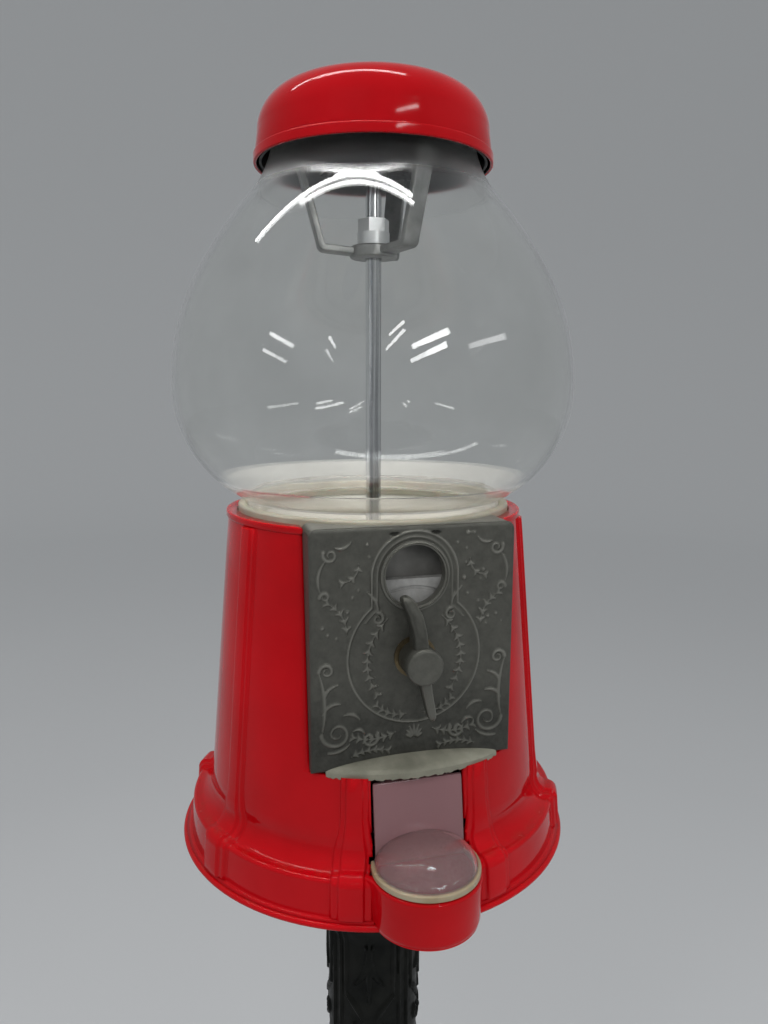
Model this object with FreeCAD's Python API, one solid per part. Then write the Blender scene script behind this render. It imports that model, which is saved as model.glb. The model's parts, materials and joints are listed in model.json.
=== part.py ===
import FreeCAD, Part
import math
import os
from FreeCAD import Vector

os.makedirs("parts", exist_ok=True)

# Driving sizes in millimetres. Heights are above the bottom rim of the machine's casing,
# and everything is lifted by the stand's height when it is written. The front faces -Y.

# Clearances
slip = 0.3             # gap between pieces that only sit beside each other
run_gap = 0.05         # radial gap of a shaft that turns in its bore
snug = 0.02            # radial gap of a pin that is fixed in its bore

# Casing
lip_radius = 104.0
lip_height = 3.0
skirt_radius = 99.5
skirt_height = 20.7
skirt_draft = 1.2
skirt_edge = 2.0
shoulder_radius = 94.0
waist_radius = 87.6
waist_z = 34.0
waist_bow = -0.178     # hollow of the curve under the waist, its depth over its chord
top_radius = 75.5
casing_top = 174.5
casing_wall = 3.5
crown_height = 3.6
crown_proud = 0.9
rib_azimuths = (20.0, 65.0, 115.0, 160.0)
rib_steps = ((1.2, 12.5), (2.2, 7.5))   # how proud each step of a rib stands, and its width

# Ledge in the casing's mouth, which carries the hopper
ledge_bore = 67.0
ledge_thick = 3.5
seat_z = 166.0

# Cup at the foot of the chute
cup_y = -95.0
cup_rim_radius = 28.5
cup_foot_radius = 24.5
cup_rim_z = 23.0
cup_wall = 3.0
cup_floor = 3.0

# Coin plate and its ledge
plate_width = 96.0
plate_bottom = 67.0
plate_top = 176.0
plate_face = 75.0
plate_thick = 4.0
plate_cheek = 3.0
plate_back_reach = 54.0
plate_corner = 4.0
plate_room = 9.0       # how far the casing's gap for the coin plate runs behind it
sill_drop = 3.7
sill_rise = 7.0
sill_nose = 3.0
sill_proud = 1.0
window_radius = 14.0
window_z = 153.5
handle_z = 116.0
frame_ring_radius = 31.0
frame_arch_radius = 20.0
frame_band = 2.6
frame_proud = 1.2
window_rim_band = 2.2
window_rim_proud = 1.8

# Coin wheel, backing plate and shaft
coin_wheel_radius = 44.0
coin_wheel_thick = 4.4
coin_flat = 35.0
coin_groove_radius = 30.5
coin_groove_width = 1.2
coin_groove_depth = 0.6
backing_thick = 1.5
backing_width = 84.0
backing_bottom = 76.0
backing_top = 168.0
post_x = 38.0
post_inset = 5.0
post_radius = 3.0
screw_radius = 1.6
screw_head_radius = 3.0
screw_head = 2.0
shaft_radius = 4.0
bush_radius = 6.0
bush_flange_radius = 8.5
bush_flange = 1.5
washer_radius = 9.7
washer_thick = 1.0
clip_radius = 7.0
clip_thick = 0.8
clip_mouth = 5.0

# Turn handle
handle_hub_radius = 8.3
handle_hub_length = 16.0
handle_bore_end = 2.6
handle_rest_tilt = 10.0
handle_upper_reach = 31.0
handle_lower_reach = 29.0
# Sections of a wing: place along its reach, width, depth and how far back it leans
handle_upper_wing = ((0.1, 10.0, 13.0, 0.0), (0.45, 7.5, 12.0, 0.5), (0.8, 6.5, 10.0, 2.0), (1.0, 4.0, 6.0, 3.5))
handle_lower_wing = ((0.1, 9.0, 10.0, 0.0), (0.5, 6.0, 8.0, 0.0), (0.85, 4.6, 6.0, 0.5), (1.0, 3.0, 4.0, 0.8))

# Pinion and the crown teeth of the gumball wheel
pinion_teeth = 12
crown_teeth = 48
crown_radius = 53.0
gear_width = 6.0
tooth_out = 1.7
tooth_in = 2.4
tooth_foot_share = 0.46
tooth_tip_share = 0.24
crown_web = 3.0        # thickness of the ring that carries the crown teeth

# Gumball wheel, its housing, the hopper and the strike plate
wheel_radius = 57.5
wheel_thick = 18.5
wheel_pockets = 4
pocket_radius = 12.0
pocket_orbit = 31.0
wheel_bush_radius = 7.0
housing_gap = 1.5
housing_wall = 2.0
housing_floor = 2.4
housing_rise = 1.0
floor_gap = 0.5
crown_floor_gap = 1.2
outlet_radius = 12.5
hopper_skirt = 1.5
hopper_lap = 9.0
hopper_flange = 3.0
hopper_wall = 2.2
strike_thick = 2.0
strike_half_angle = 32.0
strike_inner = 12.0

# Globe and its seat
globe_wall = 3.6
globe_neck_radius = 66.0
globe_neck_top = 179.5
globe_waist = (86.4, 195.2)
globe_belly = (101.6, 236.0)
globe_upper = (88.0, 290.4)
globe_shoulder = (63.0, 326.4)
globe_mouth_radius = 51.0
globe_mouth_z = 349.0
globe_neck_lean = 64.0     # degrees off upright in which the glass spreads above its neck
seat_floor = 3.3
seat_wall_top = 177.6
seat_inner = 60.5
seat_wall = 4.3
seat_edge = 1.2

# Centre rod, spider bracket and what clamps them
rod_radius = 4.0
rod_top = 366.0
rod_bottom = -17.5
spider_hub_radius = 12.0
spider_depth = 50.0
spider_hub_height = 5.8
spider_azimuths = (14.0, 134.0, 254.0)
spider_knee_radius = 28.5
spider_knee_rise = 3.8
spider_top_radius = 41.2
spider_leg_width = 10.0
spider_leg_thick = 3.2
spider_web = 2.4
spider_hub_lip = 0.6
spider_ring_thick = 3.0
collar_radius = 8.1
collar_height = 6.4
nut_across = 14.0
nut_height = 6.4
gasket_thick = 1.2
gasket_band = 4.0

# Lid, its liner and its lock
lid_rim_radius = 59.2
lid_rim_z = 343.3
lid_band = 4.6
lid_band_proud = 0.9
lid_knee = (57.2, 357.0)
lid_brow = (42.0, 377.2)
lid_corner_bow = 0.176
lid_crown_bow = 0.028
lid_top = 381.0
lid_wall = 1.6
liner_wall = 1.2
liner_lift = 1.2
liner_seat_radius = 48.0
liner_seat_band = 4.0
lock_radius = 8.0
lock_bottom = 353.0
lock_flange_radius = 10.5
lock_flange = 1.8
key_slot = (1.6, 7.0, 4.0)

# Chute and its door
chute_width = 30.0
chute_back = 17.5
chute_front = 44.5
chute_sheet = 1.0
chute_floor_back_z = 66.0
chute_floor_front_z = 29.0
chute_floor_front = 85.0
chute_headroom = 25.0
chute_flange = 7.0
chute_opening = 42.0
chute_screw_x = 19.5
hinge_reach = 76.5
hinge_z = 56.0
ear_radius = 3.0
door_width = 40.8
door_thick = 1.8
door_top_reach = 82.0
door_foot_reach = 88.0
door_top_z = 58.0
bubble_radius = 26.0
bubble_rise = 12.5
door_rim_width = 4.0
door_rim_thick = 2.5
knuckle_radius = 2.4
hinge_pin_radius = 1.2

# Bottom plate and fixings
base_lift = 1.0
base_thick = 2.0
boss_inset = 13.5      # from the skirt's outside to the screws
boss_radius = 5.0
boss_top = 24.0
boss_azimuths = (60.0, 180.0, 300.0)
base_screw_length = 16.0

# Stand
stand_height = 545.0
stand_flange_radius = 60.0
stand_flange_thick = 6.0
stand_bolt_orbit = 45.0
stand_bolt_radius = 3.0
stand_bolt_count = 4
stand_nut_across = 10.0
stand_nut_height = 5.0
column_head_radius = 30.0
column_neck_radius = 20.0
column_vase_radius = 27.3
column_vase_top = 62.0
column_vase_bottom = 124.0
column_ring_radius = 21.5
column_shaft_top_radius = 16.5
column_shaft_foot_radius = 19.5
column_foot_radius = 27.0
column_bore = 6.0
column_socket = 10.5
column_lip = 4.0
column_neck_drop = 18.0       # from the column's top to its neck
column_ring_drop = 28.0       # from the vase's foot to the ring below it
column_ring_half = 4.0
column_ring_edge = 1.0
column_waist_radius = 18.0
column_ring_run = 12.0        # from a ring to the end of the plain shaft
column_foot_ring_z = 34.0     # above the column's foot
column_foot_ring_proud = 4.5
column_foot_run = 8.0
column_hollow = -0.17
column_swell = 0.12
column_flutes = 8
column_flute_ends = 10.0
vase_flute_radius = 7.0
vase_flute_depth = 2.2
shaft_flute_radius = 4.5
shaft_flute_depth = 1.6
base_radius = 150.0
base_rim = 5.0
base_top = 74.0
base_wall = 7.0
base_bell_radius = 62.0
base_bell_drop = 41.0         # from the base's top to the foot of its bell
base_tread_radius = 108.0
base_tread_drop = 50.0
base_bell_bow = -0.2
base_tread_bow = 0.01
base_rim_bow = 0.07
base_scallops = 8
base_scallop_radius = 40.0
base_scallop_depth = 5.0
tie_radius = 5.0
coupling_across = 15.0
coupling_length = 25.0

# Bows of arcs: the height over the chord of a quarter and of a half circle
quarter = (math.sqrt(2) - 1) / 2
half_round = 0.5

# Worked out from the sizes above
pinion_pitch_radius = crown_radius * pinion_teeth / crown_teeth
pitch_z = handle_z + pinion_pitch_radius
tooth_pitch = 2 * math.pi * pinion_pitch_radius / pinion_teeth
crown_tip_z = pitch_z - tooth_out
crown_root_z = pitch_z + tooth_in
wheel_bottom = crown_root_z + crown_web
wheel_top = wheel_bottom + wheel_thick
floor_top = wheel_bottom - floor_gap
trough_top = crown_tip_z - crown_floor_gap
housing_bottom = trough_top - housing_floor
housing_inner = wheel_radius + housing_gap
housing_outer = housing_inner + housing_wall
housing_top = wheel_top + housing_rise
trough_inner = crown_radius - gear_width / 2 - housing_gap
strike_top = housing_top + strike_thick
seat_outer = globe_neck_radius + slip + seat_wall
hopper_top = seat_z + hopper_flange
seat_floor_top = hopper_top + seat_floor
globe_bottom = seat_floor_top + slip
boss_orbit = skirt_radius - boss_inset
sill_bottom = plate_bottom - sill_drop
plate_back_y = -(plate_face - plate_thick)
coin_front_y = plate_back_y + slip
coin_rear_y = coin_front_y + coin_wheel_thick
backing_front_y = coin_rear_y + slip
backing_rear_y = backing_front_y + backing_thick
pinion_front_y = -(crown_radius + gear_width / 2)
pinion_rear_y = -(crown_radius - gear_width / 2)
handle_rear_y = -(plate_face + washer_thick + slip)
handle_front_y = handle_rear_y - handle_hub_length
base_top_z = base_lift + base_thick
stand_flange_bottom = base_lift - stand_flange_thick
column_top = stand_flange_bottom
column_bottom = base_top - stand_height
gasket_bottom = globe_mouth_z
spider_ring_bottom = gasket_bottom + gasket_thick
spider_ring_top = spider_ring_bottom + spider_ring_thick
spider_hub_bottom = spider_ring_bottom - spider_depth
spider_hub_top = spider_hub_bottom + spider_hub_height
spider_knee_z = spider_hub_bottom + spider_knee_rise
collar_top = spider_hub_top + collar_height
nut_top = collar_top + nut_height


def turning(r, z):
    return Vector(r, 0, z)


def side(y, z):
    return Vector(0, y, z)


def front(x, z):
    return Vector(x, 0, z)


def outline(plane, start, *steps):
    """Face inside a closed line of corners. An arc is its end and its bow, plus to the right of its run."""
    edges = []
    here = start
    for step in steps + (start,):
        if isinstance(step[0], tuple):
            end, bow = step
            along = end[0] - here[0]
            up = end[1] - here[1]
            middle = ((here[0] + end[0]) / 2 + bow * up, (here[1] + end[1]) / 2 - bow * along)
            edges.append(Part.Arc(plane(*here), plane(*middle), plane(*end)).toShape())
        else:
            end = step
            edges.append(Part.makeLine(plane(*here), plane(*end)))
        here = end
    return Part.Face(Part.Wire(edges))


def turned(start, *steps):
    return outline(turning, start, *steps).revolve(Vector(), Vector(0, 0, 1), 360)


def bar_x(radius, x0, x1, y, z):
    return Part.makeCylinder(radius, x1 - x0, Vector(x0, y, z), Vector(1, 0, 0))


def bar_y(radius, y0, y1, x=0.0, z=0.0):
    return Part.makeCylinder(radius, y1 - y0, Vector(x, y0, z), Vector(0, 1, 0))


def bar_z(radius, z0, z1, x=0.0, y=0.0):
    return Part.makeCylinder(radius, z1 - z0, Vector(x, y, z0))


def ring_z(outer, inner, z0, z1):
    return bar_z(outer, z0, z1).cut(bar_z(inner, z0, z1))


def ring_y(outer, inner, y0, y1, z):
    return bar_y(outer, y0, y1, 0, z).cut(bar_y(inner, y0, y1, 0, z))


def block(x0, x1, y0, y1, z0, z1):
    return Part.makeBox(x1 - x0, y1 - y0, z1 - z0, Vector(x0, y0, z0))


def across_x(face, half):
    """Face on the side plane, thickened to both sides of the middle plane."""
    return face.translated(Vector(-half, 0, 0)).extrude(Vector(2 * half, 0, 0))


def hexagon_z(across, z0, z1, x=0.0, y=0.0):
    corner = across / math.sqrt(3)
    spots = [(x + corner * math.cos(math.radians(60 * i)), y + corner * math.sin(math.radians(60 * i)))
             for i in range(7)]
    wire = Part.makePolygon([Vector(px, py, z0) for px, py in spots])
    return Part.Face(wire).extrude(Vector(0, 0, z1 - z0))


def around(shape, azimuth):
    """Copy of a shape turned about the middle: azimuth 0 stays at the front, plus goes to +X."""
    return shape.rotated(Vector(), Vector(0, 0, 1), azimuth)


def spot(orbit, azimuth):
    angle = math.radians(azimuth)
    return orbit * math.sin(angle), -orbit * math.cos(angle)


def both_sides(azimuths):
    return [side_sign * azimuth for azimuth in azimuths for side_sign in (-1, 1)]


def capsule(radius, start, end):
    """Round-ended bar, which cuts a flute."""
    run = end - start
    body = Part.makeCylinder(radius, run.Length, start, run)
    return body.multiFuse([Part.makeSphere(radius, start), Part.makeSphere(radius, end)])


# Casing

def cone_radius(z):
    """Radius of the casing's tapered wall at a height."""
    share = (z - waist_z) / (casing_top - waist_z)
    return waist_radius + share * (top_radius - waist_radius)


def casing_steps(grow, top):
    """Outside line from the skirt's foot to the top, grown outwards by the rib's height."""
    wall = skirt_radius + grow
    brow = skirt_height + grow
    inset = wall - skirt_draft
    return (
        (inset, brow - skirt_edge),
        ((inset - skirt_edge, brow), quarter),
        (shoulder_radius + grow, brow),
        ((waist_radius + grow, waist_z + grow), waist_bow),
        (cone_radius(top) + grow, top),
    )


def casing_body():
    nose = lip_radius - lip_height / 2
    crown_z = casing_top - crown_height
    crown = cone_radius(crown_z) + crown_proud
    return turned(
        (0, 0), (nose, 0), ((nose, lip_height), half_round), (skirt_radius, lip_height),
        *casing_steps(0, crown_z),
        (crown, crown_z + crown_proud), (crown, casing_top - crown_proud),
        (crown - crown_proud, casing_top), (0, casing_top))


def casing_ribs():
    """Stepped pilasters that follow the wall, spread over the shoulder and run down the skirt."""
    ribs = []
    rib_top = casing_top - crown_height
    for proud, width in rib_steps:
        layer = turned((0, 0), (skirt_radius + proud, 0), *casing_steps(proud, rib_top), (0, rib_top))
        strip = block(-width / 2, width / 2, -lip_radius, -ledge_bore, 0, rib_top)
        ribs += [layer.common(around(strip, azimuth)) for azimuth in both_sides(rib_azimuths)]
    return ribs


def casing_hollow():
    under = seat_z - ledge_thick
    room = turned(
        (0, -1), (skirt_radius - casing_wall, -1), (skirt_radius - casing_wall, skirt_height - casing_wall),
        (waist_radius, skirt_height - casing_wall), (waist_radius - casing_wall, waist_z),
        (cone_radius(under) - casing_wall, under), (0, under))
    throat = bar_z(ledge_bore, under - 1, seat_z + 1)
    socket = bar_z(seat_outer + slip, seat_z, casing_top + 1)
    return room.multiFuse([throat, socket])


def cup_cone(inset, z0, z1):
    slope = (cup_rim_radius - cup_foot_radius) / cup_rim_z
    low = cup_foot_radius + slope * z0 - inset
    high = cup_foot_radius + slope * z1 - inset
    return Part.makeCone(low, high, z1 - z0, Vector(0, cup_y, z0))


def body_casing():
    shell = casing_body().multiFuse(casing_ribs()).cut(casing_hollow())
    bosses = [bar_z(boss_radius, base_top_z, boss_top, *spot(boss_orbit, a)) for a in boss_azimuths]
    shell = shell.multiFuse([cup_cone(0, 0, cup_rim_z)] + bosses)
    half = plate_width / 2 + slip
    reach = 2 * lip_radius
    cuts = [
        cup_cone(cup_wall, cup_floor, cup_rim_z + 1),
        bar_z(bubble_radius + door_rim_width - door_thick + 2 * slip, cup_rim_z, waist_z, 0, cup_y),
        block(-half, half, -reach, plate_room - plate_back_reach, sill_bottom - slip, casing_top + 1),
        block(-chute_opening / 2, chute_opening / 2, -reach, -ledge_bore, cup_rim_z - 1, sill_bottom),
    ]
    cuts += [bar_z(screw_radius + snug, base_lift, base_lift + base_screw_length, *spot(boss_orbit, a))
             for a in boss_azimuths]
    return shell.cut(cuts).removeSplitter()


def bottom_plate():
    disc = bar_z(skirt_radius - casing_wall - slip, base_lift, base_top_z)
    cuts = [cup_cone(-slip, 0, base_top_z + 1), bar_z(rod_radius + slip, 0, base_top_z)]
    cuts += [bar_z(screw_radius + slip, 0, base_top_z, *spot(boss_orbit, a)) for a in boss_azimuths]
    cuts += [bar_z(stand_bolt_radius + slip, 0, base_top_z, x, y) for x, y in stand_bolt_spots()]
    return disc.cut(cuts)


def bottom_screws():
    screws = []
    for azimuth in boss_azimuths:
        x, y = spot(boss_orbit, azimuth)
        shank = bar_z(screw_radius, base_lift, base_lift + base_screw_length - slip, x, y)
        head = bar_z(screw_head_radius, base_lift - screw_head, base_lift, x, y)
        screws.append(head.fuse(shank))
    return Part.makeCompound(screws)


# Coin plate and the works behind it

def keyhole(grow, y0, y1):
    """Round plate with an arch on top, the outline round the coin window and the handle."""
    disc = bar_y(frame_ring_radius + grow, y0, y1, 0, handle_z)
    head = bar_y(frame_arch_radius + grow, y0, y1, 0, window_z)
    neck = block(-frame_arch_radius - grow, frame_arch_radius + grow, y0, y1, handle_z, window_z)
    return disc.multiFuse([head, neck]).removeSplitter()


def coin_plate():
    half = plate_width / 2
    face_y = -plate_face
    slab = block(-half, half, face_y, plate_back_y, plate_bottom, plate_top)
    cheeks = [block(x, x + plate_cheek, plate_back_y, -plate_back_reach, plate_bottom, plate_top)
              for x in (-half, half - plate_cheek)]
    brow = block(-half, half, plate_back_y, -plate_back_reach, plate_top - plate_cheek, plate_top)
    box = slab.multiFuse(cheeks + [brow]).cut(bar_z(seat_outer + slip, seat_z - slip, plate_top + 1))
    rounded = outline(
        front, (-half, plate_bottom), (half, plate_bottom), (half, plate_top - plate_corner),
        ((half - plate_corner, plate_top), quarter), (plate_corner - half, plate_top),
        ((-half, plate_top - plate_corner), quarter))
    rounded = rounded.translated(Vector(0, face_y, 0)).extrude(Vector(0, plate_face - plate_back_reach, 0))
    box = box.common(rounded)
    arc = cone_radius(plate_bottom) + sill_proud
    sill = across_x(outline(
        side, (plate_back_y, sill_bottom), (plate_back_y, plate_bottom + sill_rise),
        (face_y, plate_bottom + sill_rise), (-arc, sill_bottom + sill_nose), (-arc, sill_bottom)), half - slip)
    sill = sill.common(bar_z(arc, 0, plate_top))
    frame = keyhole(0, face_y - frame_proud, face_y).cut(
        keyhole(-frame_band, face_y - frame_proud, face_y))
    rim = ring_y(window_radius + window_rim_band, window_radius, face_y - window_rim_proud, face_y, window_z)
    whole = box.multiFuse([sill, frame, rim])
    return whole.cut([
        bar_y(window_radius, face_y - window_rim_proud, plate_back_y, 0, window_z),
        bar_y(shaft_radius + run_gap, face_y, plate_back_y, 0, handle_z),
    ]).removeSplitter()


def post_spots():
    return [(x, z) for x in (-post_x, post_x)
            for z in (backing_bottom + post_inset, backing_top - post_inset)]


def backing_plate():
    sheet = block(-backing_width / 2, backing_width / 2, backing_front_y, backing_rear_y,
                  backing_bottom, backing_top)
    cuts = [bar_y(bush_radius + snug, backing_front_y, backing_rear_y, 0, handle_z)]
    cuts += [bar_y(screw_radius + slip, backing_front_y, backing_rear_y, x, z) for x, z in post_spots()]
    return sheet.cut(cuts)


def plate_posts():
    posts = [bar_y(post_radius, plate_back_y, backing_front_y, x, z).cut(
        bar_y(screw_radius + snug, plate_back_y, backing_front_y, x, z)) for x, z in post_spots()]
    return Part.makeCompound(posts)


def plate_screws():
    screws = []
    for x, z in post_spots():
        shank = bar_y(screw_radius, plate_back_y + slip, backing_rear_y, x, z)
        head = bar_y(screw_head_radius, backing_rear_y, backing_rear_y + screw_head, x, z)
        screws.append(shank.fuse(head))
    return Part.makeCompound(screws)


def shaft_bush():
    end = pinion_front_y - slip
    body = bar_y(bush_radius, backing_front_y, end, 0, handle_z)
    flange = bar_y(bush_flange_radius, backing_rear_y, backing_rear_y + bush_flange, 0, handle_z)
    return body.fuse(flange).cut(bar_y(shaft_radius + run_gap, backing_front_y, end, 0, handle_z))


def coin_wheel():
    """Disc with a flat, on which the coin stands in the window, and a round groove."""
    disc = bar_y(coin_wheel_radius, coin_front_y, coin_rear_y, 0, handle_z)
    flat = block(-coin_wheel_radius, coin_wheel_radius, coin_front_y, coin_rear_y,
                 handle_z + coin_flat, handle_z + coin_wheel_radius)
    groove = ring_y(coin_groove_radius, coin_groove_radius - coin_groove_width,
                    coin_front_y, coin_front_y + coin_groove_depth, handle_z)
    return disc.cut([flat, groove, bar_y(shaft_radius + snug, coin_front_y, coin_rear_y, 0, handle_z)])


def drive_shaft():
    return bar_y(shaft_radius, handle_front_y + handle_bore_end + slip,
                 pinion_rear_y + slip + clip_thick + slip, 0, handle_z)


def handle_washer():
    return ring_y(washer_radius, shaft_radius + slip, -plate_face - washer_thick, -plate_face, handle_z)


def shaft_clip():
    y0 = pinion_rear_y + slip
    ring = ring_y(clip_radius, shaft_radius + snug, y0, y0 + clip_thick, handle_z)
    return ring.cut(block(-clip_mouth / 2, clip_mouth / 2, y0, y0 + clip_thick,
                          handle_z - clip_radius, handle_z - shaft_radius / 2))


def wing(reach, sections):
    """Blade from the hub outwards: each section is its place along the reach, width, depth and lean."""
    wires = []
    for share, width, depth, lean in sections:
        y = handle_front_y + handle_hub_length / 2 + lean
        centre = Vector(0, y, share * reach)
        major = max(width, depth) / 2
        minor = min(width, depth) / 2
        long_end = Vector(0, major, 0) if depth >= width else Vector(major, 0, 0)
        short_end = Vector(minor, 0, 0) if depth >= width else Vector(0, minor, 0)
        oval = Part.Ellipse(centre + long_end, centre + short_end, centre)
        wires.append(Part.Wire(oval.toShape()))
    return Part.makeLoft(wires, True)


def turn_handle():
    """Round hub with a thick upper wing and a slim lower one, leaning as it was left."""
    hub = bar_y(handle_hub_radius, handle_front_y, handle_rear_y)
    upper = wing(handle_upper_reach, handle_upper_wing)
    lower = wing(-handle_lower_reach, handle_lower_wing)
    handle = hub.multiFuse([upper, lower])
    handle = handle.rotated(Vector(), Vector(0, -1, 0), handle_rest_tilt)
    handle = handle.translated(Vector(0, 0, handle_z))
    bore = bar_y(shaft_radius + snug, handle_front_y + handle_bore_end, handle_rear_y, 0, handle_z)
    return handle.cut(bore)


# Gear teeth

def tooth_half_widths():
    return tooth_foot_share * tooth_pitch / 2, tooth_tip_share * tooth_pitch / 2


def drive_pinion():
    """Spur pinion whose straight-sided teeth reach up between the crown teeth."""
    foot, tip = tooth_half_widths()
    root = pinion_pitch_radius - tooth_in
    crest = pinion_pitch_radius + tooth_out
    body = bar_y(root, pinion_front_y, pinion_rear_y)
    blank = outline(front, (-foot, root - 1), (-foot, root), (-tip, crest), (tip, crest), (foot, root),
                    (foot, root - 1))
    blank = blank.translated(Vector(0, pinion_front_y, 0)).extrude(Vector(0, gear_width, 0))
    teeth = [blank.rotated(Vector(), Vector(0, 1, 0), 360 * i / pinion_teeth) for i in range(pinion_teeth)]
    gear = body.multiFuse(teeth).cut(bar_y(shaft_radius + snug, pinion_front_y, pinion_rear_y))
    return gear.translated(Vector(0, 0, handle_z))


def crown_gear():
    """Toothed ring below the wheel, half a pitch aside so that a pinion tooth fits in front."""
    foot, tip = tooth_half_widths()
    outer = crown_radius + gear_width / 2
    root = crown_root_z + crown_web / 2
    blank = outline(front, (-foot, root), (-foot, crown_root_z), (-tip, crown_tip_z), (tip, crown_tip_z),
                    (foot, crown_root_z), (foot, root))
    blank = blank.translated(Vector(0, -outer, 0)).extrude(Vector(0, gear_width, 0))
    band = ring_z(outer, outer - gear_width, crown_root_z, wheel_bottom)
    return band.multiFuse([around(blank, 360 * (i + 0.5) / crown_teeth) for i in range(crown_teeth)])


def gumball_wheel():
    disc = bar_z(wheel_radius, wheel_bottom, wheel_top)
    cuts = [bar_z(wheel_bush_radius + snug, wheel_bottom, wheel_top)]
    cuts += [bar_z(pocket_radius, wheel_bottom, wheel_top, *spot(pocket_orbit, 360 * (i + 0.5) / wheel_pockets))
             for i in range(wheel_pockets)]
    return disc.cut(cuts)


def wheel_bush():
    return ring_z(wheel_bush_radius, rod_radius + run_gap, floor_top + floor_gap / 2, wheel_top)


def wheel_housing():
    """Cup round the wheel, with a raised floor, a trough for the crown teeth and the outlet."""
    floor_bottom = floor_top - housing_floor
    hub = rod_radius + slip
    cup = turned(
        (hub, floor_bottom), (hub, floor_top), (trough_inner, floor_top), (trough_inner, trough_top),
        (housing_inner, trough_top), (housing_inner, housing_top), (housing_outer, housing_top),
        (housing_outer, housing_bottom), (trough_inner - housing_floor, housing_bottom),
        (trough_inner - housing_floor, floor_bottom))
    room = pinion_pitch_radius + tooth_out + 4 * slip
    gap = block(-room, room, -housing_outer - 1, pinion_rear_y + 3 * slip, housing_bottom, crown_root_z)
    return cup.cut([gap, bar_z(outlet_radius, housing_bottom, floor_top, 0, -pocket_orbit)])


def hopper():
    """Funnel that hangs in the casing's mouth by its flange and laps over the housing."""
    inner = housing_outer + slip
    outer = inner + hopper_skirt
    step = strike_top + slip
    throat = housing_inner - slip
    mouth = globe_neck_radius - globe_wall
    shape = turned(
        (inner, housing_top - hopper_lap), (outer, housing_top - hopper_lap), (outer, step),
        (mouth + hopper_wall, seat_z), (seat_outer, seat_z), (seat_outer, hopper_top), (mouth, hopper_top),
        (throat, step + hopper_wall), (throat, step), (inner, step))
    half = plate_width / 2
    trim = block(-half, half, -seat_outer - 1, backing_rear_y + slip, seat_z - 1, hopper_top + 1)
    return shape.cut(trim)


def strike_plate():
    """Ring on the housing's rim, with a shield that keeps gumballs off the pocket over the outlet."""
    ring = ring_z(housing_outer, housing_inner - 1, housing_top, strike_top)
    disc = ring_z(housing_inner, strike_inner, housing_top, strike_top)
    reach = housing_outer
    x, y = spot(reach, strike_half_angle)
    wedge = Part.Face(Part.makePolygon([
        Vector(0, 0, housing_top), Vector(-2 * x, 2 * y, housing_top), Vector(2 * x, 2 * y, housing_top),
        Vector(0, 0, housing_top)])).extrude(Vector(0, 0, strike_thick))
    return ring.fuse(disc.common(wedge)).removeSplitter()


# Globe

def arc_chain(start, lean, ends):
    """Points of arcs that each leave as the last one arrived, with the lean off upright at every point."""
    chain = [(*start, math.radians(lean))]
    for radius, z in ends:
        last_radius, last_z, last_lean = chain[-1]
        chain.append((radius, z, 2 * math.atan2(radius - last_radius, z - last_z) - last_lean))
    return chain


def glass_globe():
    """Blown shell: a chain of smooth arcs turned about the middle, and the same chain a wall inside."""
    chain = arc_chain((globe_neck_radius, globe_neck_top), globe_neck_lean,
                      (globe_waist, globe_belly, globe_upper, globe_shoulder, (globe_mouth_radius, globe_mouth_z)))
    outer = [(radius, z) for radius, z, lean in chain]
    inner = [(radius - globe_wall * math.cos(lean), z + globe_wall * math.sin(lean)) for radius, z, lean in chain]
    bows = [math.tan((low[2] - high[2]) / 4) / 2 for low, high in zip(chain, chain[1:])]
    outside = list(zip(outer[1:], bows))
    inside = [(point, -bow) for point, bow in zip(inner[:-1], bows)][::-1]
    throat = (inner[0][0], globe_bottom)
    return turned((globe_neck_radius, globe_bottom), outer[0], *outside, inner[-1], *inside, throat)


def globe_seat():
    """Soft plastic ring: a floor under the glass and a wall round its neck."""
    wall = globe_neck_radius + slip
    return turned(
        (seat_inner, hopper_top), (seat_outer, hopper_top), (seat_outer, seat_wall_top - seat_edge),
        ((seat_outer - seat_edge, seat_wall_top), quarter), (wall + seat_edge, seat_wall_top),
        ((wall, seat_wall_top - seat_edge), quarter), (wall, seat_floor_top), (seat_inner, seat_floor_top))


def mouth_gasket():
    return ring_z(globe_mouth_radius, globe_mouth_radius - gasket_band, gasket_bottom, spider_ring_bottom)


# Rod, spider bracket and clamps

def spider_leg(azimuth):
    """Flat leg from the hub out to the knee and up to the ring, with a web down its outer face."""
    t = spider_leg_thick
    knee = spider_knee_radius
    top = spider_ring_bottom + spider_ring_thick / 2
    start = spider_hub_radius / 2
    foot = spider_hub_bottom + spider_hub_lip
    strap = across_x(outline(
        side, (-start, foot), (-knee, spider_knee_z), (-spider_top_radius, top), (t - spider_top_radius, top),
        (t - knee, spider_knee_z + t), (-start, foot + t)), spider_leg_width / 2)
    web = across_x(outline(
        side, (-knee, spider_knee_z), (-knee - spider_web, spider_knee_z + spider_web),
        (-spider_top_radius - spider_web, top), (-spider_top_radius, top)), t / 2)
    return around(strap.fuse(web), azimuth)


def spider_bracket():
    hub = bar_z(spider_hub_radius, spider_hub_bottom, spider_hub_top)
    ring = ring_z(globe_mouth_radius, spider_top_radius - spider_leg_thick, spider_ring_bottom, spider_ring_top)
    whole = hub.multiFuse([ring] + [spider_leg(a) for a in spider_azimuths])
    return whole.cut(bar_z(rod_radius + slip, spider_hub_bottom, spider_hub_top))


def rod_collar():
    return ring_z(collar_radius, rod_radius + slip, spider_hub_top, collar_top)


def rod_nut():
    return hexagon_z(nut_across, collar_top, nut_top).cut(bar_z(rod_radius + snug, collar_top, nut_top))


def centre_rod():
    return bar_z(rod_radius, rod_bottom, rod_top)


# Lid

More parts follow.
